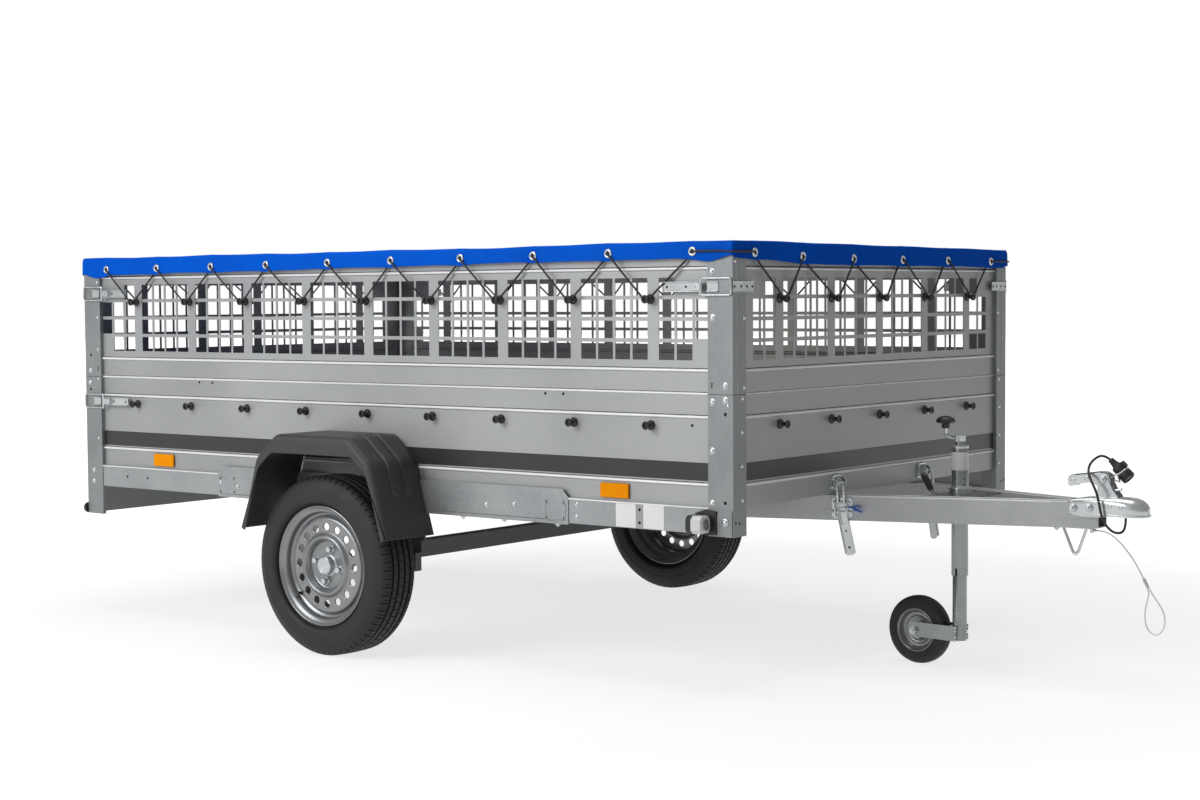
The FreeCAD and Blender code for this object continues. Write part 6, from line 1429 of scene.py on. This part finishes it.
piece("coupling_lever", lever + ears, "drawbar", "zinc_bright", smooth=35, bevel=0.0008,
      replaces=("coupling_handle",))
piece("coupling_bolts", paired(heads) + pivots + dimples + [tab], "drawbar", "zinc_bright", smooth=35,
      bevel=0.0004)
print("coupling stations", len(STATIONS))

# %% [markdown]
# Under the nose hangs a bent rod that the trailer can be hooked up by, on a small bolted plate. Above it
# the lamp plug rests in a spring clip. The plug is turned, with a ribbed cable gland and a fluted body.

# %% Rest hook, plug and clip
hook_rod = bent_rod(((1.5305, 0, 0.4350), (1.5600, 0, 0.3650), (1.5680, 0, 0.3560), (1.5780, 0, 0.3660),
                     (1.6030, 0, 0.4350)), 0.0042, 12, 0.005)
hook_plate = block((1.5105, -0.025, 0.4320), (1.6195, 0.025, 0.4361))
hook_lug = block((1.6135, -0.006, 0.4200), (1.6215, 0.006, 0.4330))
hook_parts = [hook_rod, hook_plate, hook_lug] + fixing("hex", (1.5180, -0.012, 0.4322), (0, 0, -1), 0.85)
piece("hook_bow", hook_parts, "drawbar", "zinc_bright", smooth=40, bevel=0.0005, replaces=("rest_hook",))

PLUG_BODY = ((0, -12, 0), (7.5, -12, 0), (8.6, -10, 0), (8.6, -6, 0), (7.6, -5, 0), (7.6, -3.6, 0),
             (9.4, -3, 0), (9.4, 1, 0), (8.2, 2, 0), (8.2, 3.4, 0), (10.4, 4, 0), (10.8, 9, 0),
             (12.5, 11, 0.3), (16.5, 14, 1), (17.5, 18, 1), (17.8, 34, 1), (17.2, 36, 0.3), (16.6, 37, 0),
             (16.6, 40, 0), (18.8, 41, 0.6), (19.4, 44, 1), (19.4, 60, 1), (18.6, 62.5, 0.5),
             (16.8, 63.5, 0), (16.2, 60.5, 0), (0, 60.5, 0))
plug_body = fluted(PLUG_BODY, PLUG_TAIL, PLUG_WAY, 18, 0.022)
UP = np.array((math.sin(DIP), 0.0, math.cos(DIP)))
KEY = ((0.016, 0.015), (0.016, 0.0245), (0.034, 0.0245), (0.036, 0.015))
key = plate([PLUG_TAIL + PLUG_WAY * a + UP * b + Y_WAY * 0.004 for a, b in KEY], -Y_WAY, 0.008)
piece("plug_body", [plug_body, key], "drawbar", "black_plastic", smooth=35, bevel=0.0004, replaces=("plug",))
CLIP_AT, CLIP_RADIUS = 0.0385, 0.0188
ring_angle = np.linspace(0, 2 * np.pi, 25)
first, second, _ = frame_of(PLUG_WAY)
clip_ring = [PLUG_TAIL + PLUG_WAY * (CLIP_AT + 0.0012 * math.sin(a))
             + CLIP_RADIUS * (math.cos(a) * first + math.sin(a) * second) for a in ring_angle]
clip_leg = bent_rod((PLUG_TAIL + PLUG_WAY * CLIP_AT - UP * 0.0185 - Y_WAY * 0.004, (1.6900, 0.020, 0.5620),
                     (1.6640, 0.021, 0.5705)), 0.0022, 8, 0.006)
clip_arm = bent_rod((PLUG_TAIL + PLUG_WAY * CLIP_AT - Y_WAY * CLIP_RADIUS, (1.6850, 0.0215, 0.5850),
                     (1.6600, 0.0205, 0.5750)), 0.0022, 8, 0.006)
piece("plug_clip", [swept(clip_ring, 0.0020, 8), clip_leg, clip_arm], "drawbar", "zinc_bright", smooth=50,
      replaces=("plug_holder",))
print("hook, plug and clip ready")

# %% [markdown]
# Two over-centre catches hold the box down on the arms. Each has a folded body on the arm, cross pins, a
# strap handle with turned-up edges, a forked hook that reaches up to a ring on the front board, and a
# blue safety clip. They are made once in the arm's own directions and mirrored for the left arm.

# %% Tilt catches
LEAN = math.atan2(0.666, 2.084)
ALONG = np.array((math.cos(LEAN), math.sin(LEAN), 0.0))
OUT = np.array((math.sin(LEAN), -math.cos(LEAN), 0.0))
CATCH = np.array((0.9665, -0.2456, 0.4720))
PIN_HEAD = ((0, 0), (6.6, 0), (6.6, 4.6), (5.6, 5.6), (0, 5.6))
ROD_NUT = ((0, -4.5), (5.4, -4.5), (5.4, 4.5), (0, 4.5))


def on_arm(u, v, w):
    """A place on the arm: along it, up from its middle, and out from its side face, in metres."""
    return CATCH + ALONG * u + np.array((0, 0, v)) + OUT * w


def arm_rod(places, radius, sides, bend):
    """A bent rod through places on the arm."""
    return bent_rod([on_arm(*place) for place in places], radius, sides, bend)


CATCH_BODY = ((-0.024, -0.030), (0.024, -0.030), (0.030, -0.020), (0.030, 0.024), (0.022, 0.030),
              (-0.022, 0.030), (-0.030, 0.024), (-0.030, -0.020))
CATCH_CHEEK = ((-0.028, 0.004), (0.028, 0.004), (0.026, 0.014), (0.010, 0.021), (-0.012, 0.021),
               (-0.026, 0.014))
catch_parts = [plate([on_arm(u, v, 0.0002) for u, v in CATCH_BODY], OUT, 0.0052)]
catch_parts += [plate([on_arm(u, v, w) for v, w in CATCH_CHEEK], ALONG, 0.0030) for u in (-0.0190, 0.0160)]
for v, w, half in ((-0.010, 0.0135, 0.027), (0.016, 0.0120, 0.024)):
    pin = ((0, -half), (0.0038, -half), (0.0038, half), (0, half))
    catch_parts.append(turned(pin, on_arm(0, v, w), ALONG, 14))
    catch_parts.append(turned_mm(PIN_HEAD, on_arm(-half, v, w), ALONG, 6))
lean = math.radians(12.0)  # the strap hangs this far off the upright
down = ALONG * math.sin(lean) - np.array((0, 0, math.cos(lean)))
across = ALONG * math.cos(lean) + np.array((0, 0, math.sin(lean)))
strap_top = on_arm(0.0, -0.006, 0.0062)
catch_parts.append(channel(strap_top, down, across, OUT, 0.1240, 0.0300, 0.0095, 0.0022))
end_turn = np.radians(np.linspace(-90, 90, 9))
strap_end = strap_top + down * 0.1235
catch_parts.append(plate([strap_end + across * 0.0150 * math.sin(a) + down * 0.0080 * math.cos(a)
                          for a in end_turn], OUT, 0.0022))
catch_parts.append(channel(on_arm(0.001, 0.004, 0.0105), down, across, OUT, 0.0500, 0.0235, 0.0110, 0.0022))
for u in (-0.0100, 0.0085):
    rod = ((u, 0.014, 0.0165), (u - 0.001, 0.044, 0.0190), (u - 0.003, 0.066, 0.0180))
    catch_parts.append(arm_rod(rod, 0.0030, 10, 0.006))
    catch_parts.append(turned_mm(ROD_NUT, on_arm(u - 0.001, 0.034, 0.0182), (0, 0, 1), 6))
FORK = ((-0.0130, 0.066, 0.0180), (-0.0120, 0.0745, 0.0150), (0.0050, 0.0745, 0.0150),
        (0.0055, 0.066, 0.0180))
catch_parts.append(arm_rod(FORK, 0.0032, 10, 0.004))
split_pin = [on_arm(-0.052 + 0.0055 * math.cos(a), -0.010 + 0.0040 * math.sin(a), 0.0150)
             for a in np.linspace(0.3, 2 * np.pi - 0.3, 15)]
catch_parts.append(swept(split_pin, 0.0011, 6))
PIN_LINE = ((-0.046, -0.010, 0.0150), (-0.028, -0.006, 0.0150), (0.020, 0.004, 0.0230))
catch_parts.append(arm_rod(PIN_LINE, 0.0013, 6, 0.004))
strap_holes = [fixing("hole", strap_top + down * a + OUT * 0.0023, OUT, size)[0]
               for a, size in ((0.060, 0.55), (0.108, 0.75))]
catch_parts, strap_holes = paired(catch_parts), paired(strap_holes)
piece("catch_levers", catch_parts, "drawbar", "zinc_bright", smooth=35, bevel=0.0005,
      replaces=("tilt_catches",))
# the strap's holes are dark discs of painted shade
piece("catch_openings", strap_holes, "drawbar", "painted_shade_and_joint_black")
clip_turn = np.linspace(0, 2 * np.pi * 0.86, 15)
clip_line = [on_arm(0.046 + 0.0090 * math.cos(a), 0.002 + 0.0062 * math.sin(a), 0.0180) for a in clip_turn]
CLIP_TAIL = ((0.022, 0.004, 0.0180), (0.038, 0.003, 0.0190), (0.052, -0.006, 0.0185), (0.061, -0.009, 0.0150))
blue = paired([swept(clip_line, 0.0022, 8), arm_rod(CLIP_TAIL, 0.0026, 8, 0.004)])
piece("catch_clips", blue, "drawbar", "catch_blue", smooth=50)

EYE_PLATE = ((-0.276, 0.522), (-0.222, 0.522), (-0.218, 0.530), (-0.222, 0.560), (-0.232, 0.566),
             (-0.266, 0.566), (-0.276, 0.560), (-0.280, 0.530))
EYE_CHEEK = ((0, 0.524), (0.018, 0.528), (0.0275, 0.538), (0.0275, 0.552), (0.019, 0.560), (0, 0.563))
face = END_FACE + 0.0002
eyes = [plate([(face, y, z) for y, z in EYE_PLATE], X_WAY, 0.0040)]
eyes += [upright([(face + x, z) for x, z in EYE_CHEEK], y, 0.0032) for y in (-0.2620, -0.2390)]
eyes.append(turned_mm(((0, -22), (4.2, -22), (4.2, 22), (0, 22)), (face + 0.0185, -0.2490, 0.5440),
                      (0, 1, 0), 14))
eyes.append(turned_mm(((0, 0), (7.4, 0), (7.4, 5.4), (6.2, 6.4), (0, 6.4)), (face + 0.0185, -0.2710, 0.5440),
                      (0, -1, 0), 6))
for y, z in ((-0.2725, 0.5330), (-0.2255, 0.5330), (-0.2725, 0.5560), (-0.2255, 0.5560)):
    eyes += fixing("hex", (face + 0.0040, y, z), (1, 0, 0), 0.55)
eyes = paired(eyes)
piece("catch_eyes", eyes, "box", "zinc_bright", smooth=35, bevel=0.0005, replaces=("catch_brackets",))
print("catch parts", len(catch_parts), "eye parts", len(eyes))

# %% [markdown]
# Sheet and tube are never knife-sharp. The zinc parts listed here, which keep their plain solids, get a small
# rounded edge: the doubled points are welded first, and then a bevel runs along each edge sharper than 40
# degrees.

# %% Rounded edges on the plain solids
def round_edges(name, width):
    """Weld and bevel modifiers on one solid of the frame."""
    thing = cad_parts[name]
    weld = thing.modifiers.new("weld", "WELD")
    weld.merge_threshold = 0.00002
    edge = thing.modifiers.new("edges", "BEVEL")
    edge.width, edge.segments, edge.limit_method, edge.angle_limit = width, 2, "ANGLE", math.radians(40)
    edge.harden_normals = True


EDGES = {"arm_right": 0.0030, "arm_left": 0.0030, "jockey_leg": 0.0008, "jockey_tube": 0.0006,
         "jockey_clamp": 0.0010, "corner_posts_lower": 0.0012, "corner_posts_upper": 0.0012,
         "side_rails": 0.0016, "axle_plates": 0.0008, "side_board_right": 0.0006, "side_board_left": 0.0006,
         "front_board": 0.0006, "tailgate": 0.0006}
for name, width in EDGES.items():
    round_edges(name, width)
print("rounded", len(EDGES))

# %% [markdown]
# The room is as plain as a studio: a pale floor, a white surround that only the camera and mirror-like
# reflections see, a large soft lamp to the left of the camera, and weaker lamps for the nose and above.
# A small warm lamp inside the box stands in for the light that its bright walls throw about.

# %% Floor, surround and lamps
bpy.context.scene.view_settings.view_transform = "Standard"


def pale_floor():
    """A wide plane: near the trailer part of what is seen is shaded, which keeps the shadow; far off none."""
    mesh = bpy.data.meshes.new("studio_floor")
    mesh.from_pydata([(-40, -40, 0), (40, -40, 0), (40, 40, 0), (-40, 40, 0)], [], [(0, 1, 2, 3)])
    thing = bpy.data.objects.new("studio_floor", mesh)
    bpy.context.collection.objects.link(thing)
    material = bpy.data.materials.new("floor_white")
    material.use_nodes = True
    tree = material.node_tree
    tree.nodes.clear()
    rays = node(tree, "ShaderNodeLightPath")
    seen = math_node(tree, "MAXIMUM", rays.outputs["Is Camera Ray"], math_node(
        tree, "MAXIMUM", rays.outputs["Is Glossy Ray"], rays.outputs["Is Transmission Ray"]))
    place = object_place(tree)
    away = node(tree, "ShaderNodeVectorMath", {0: place}, operation="LENGTH").outputs["Value"]
    far = node(tree, "ShaderNodeMapRange", {"Value": away, "From Min": 1.6, "From Max": 4.2, "To Min": 0.62,
                                            "To Max": 1.0}, interpolation_type="SMOOTHSTEP").outputs["Result"]
    shaded = node(tree, "ShaderNodeBsdfDiffuse", {"Color": (0.88, 0.88, 0.88, 1.0)})
    plain = node(tree, "ShaderNodeEmission", {"Color": (1.0, 1.0, 1.0, 1.0), "Strength": 1.22})
    mix = node(tree, "ShaderNodeMixShader", {0: math_node(tree, "MULTIPLY", seen, far), 1: shaded.outputs[0],
                                             2: plain.outputs[0]})
    node(tree, "ShaderNodeOutputMaterial", {"Surface": mix.outputs[0]})
    mesh.materials.append(material)


def surround(strength):
    """White for camera and glass rays, a lighter grey for mirror rays, and a soft grey light for everything
    else.
    """
    world = bpy.data.worlds.new("studio")
    bpy.context.scene.world = world
    world.use_nodes = True
    tree = world.node_tree
    tree.nodes.clear()
    rays = node(tree, "ShaderNodeLightPath")
    seen = math_node(tree, "MAXIMUM", rays.outputs["Is Camera Ray"], rays.outputs["Is Transmission Ray"])
    glossy = math_node(tree, "MULTIPLY", rays.outputs["Is Glossy Ray"], 0.42)
    level = math_node(tree, "MAXIMUM", math_node(tree, "MAXIMUM", seen, glossy), strength)
    light = node(tree, "ShaderNodeBackground", {"Color": (1.0, 1.0, 1.0, 1.0), "Strength": level})
    node(tree, "ShaderNodeOutputWorld", {"Surface": light.outputs[0]})


def soft_lamp(name, place, target, size, power):
    """A square lamp that faces its target."""
    lamp = bpy.data.lights.new(name, "AREA")
    lamp.size, lamp.energy = size, power
    thing = bpy.data.objects.new(name, lamp)
    bpy.context.collection.objects.link(thing)
    thing.location = place
    thing.rotation_euler = (Vector(target) - Vector(place)).to_track_quat("-Z", "Y").to_euler()
    return thing


pale_floor()
surround(0.14)
soft_lamp("key_lamp", (-3.0, -7.5, 4.4), (-0.2, 0, 0.6), 4.5, 400)
soft_lamp("top_lamp", (0.0, -0.5, 6.5), (0, 0, 0.6), 4.0, 150)
soft_lamp("nose_lamp", (7.5, -2.0, 3.0), (0.8, 0, 0.6), 3.0, 3)
inner_lamp = soft_lamp("inner_lamp", (-0.5, -0.3, 0.93), (-0.5, 0.4, 0.93), 0.3, 2.4)
inner_lamp.visible_camera = False
inner_lamp.data.color = (1.0, 0.92, 0.78)
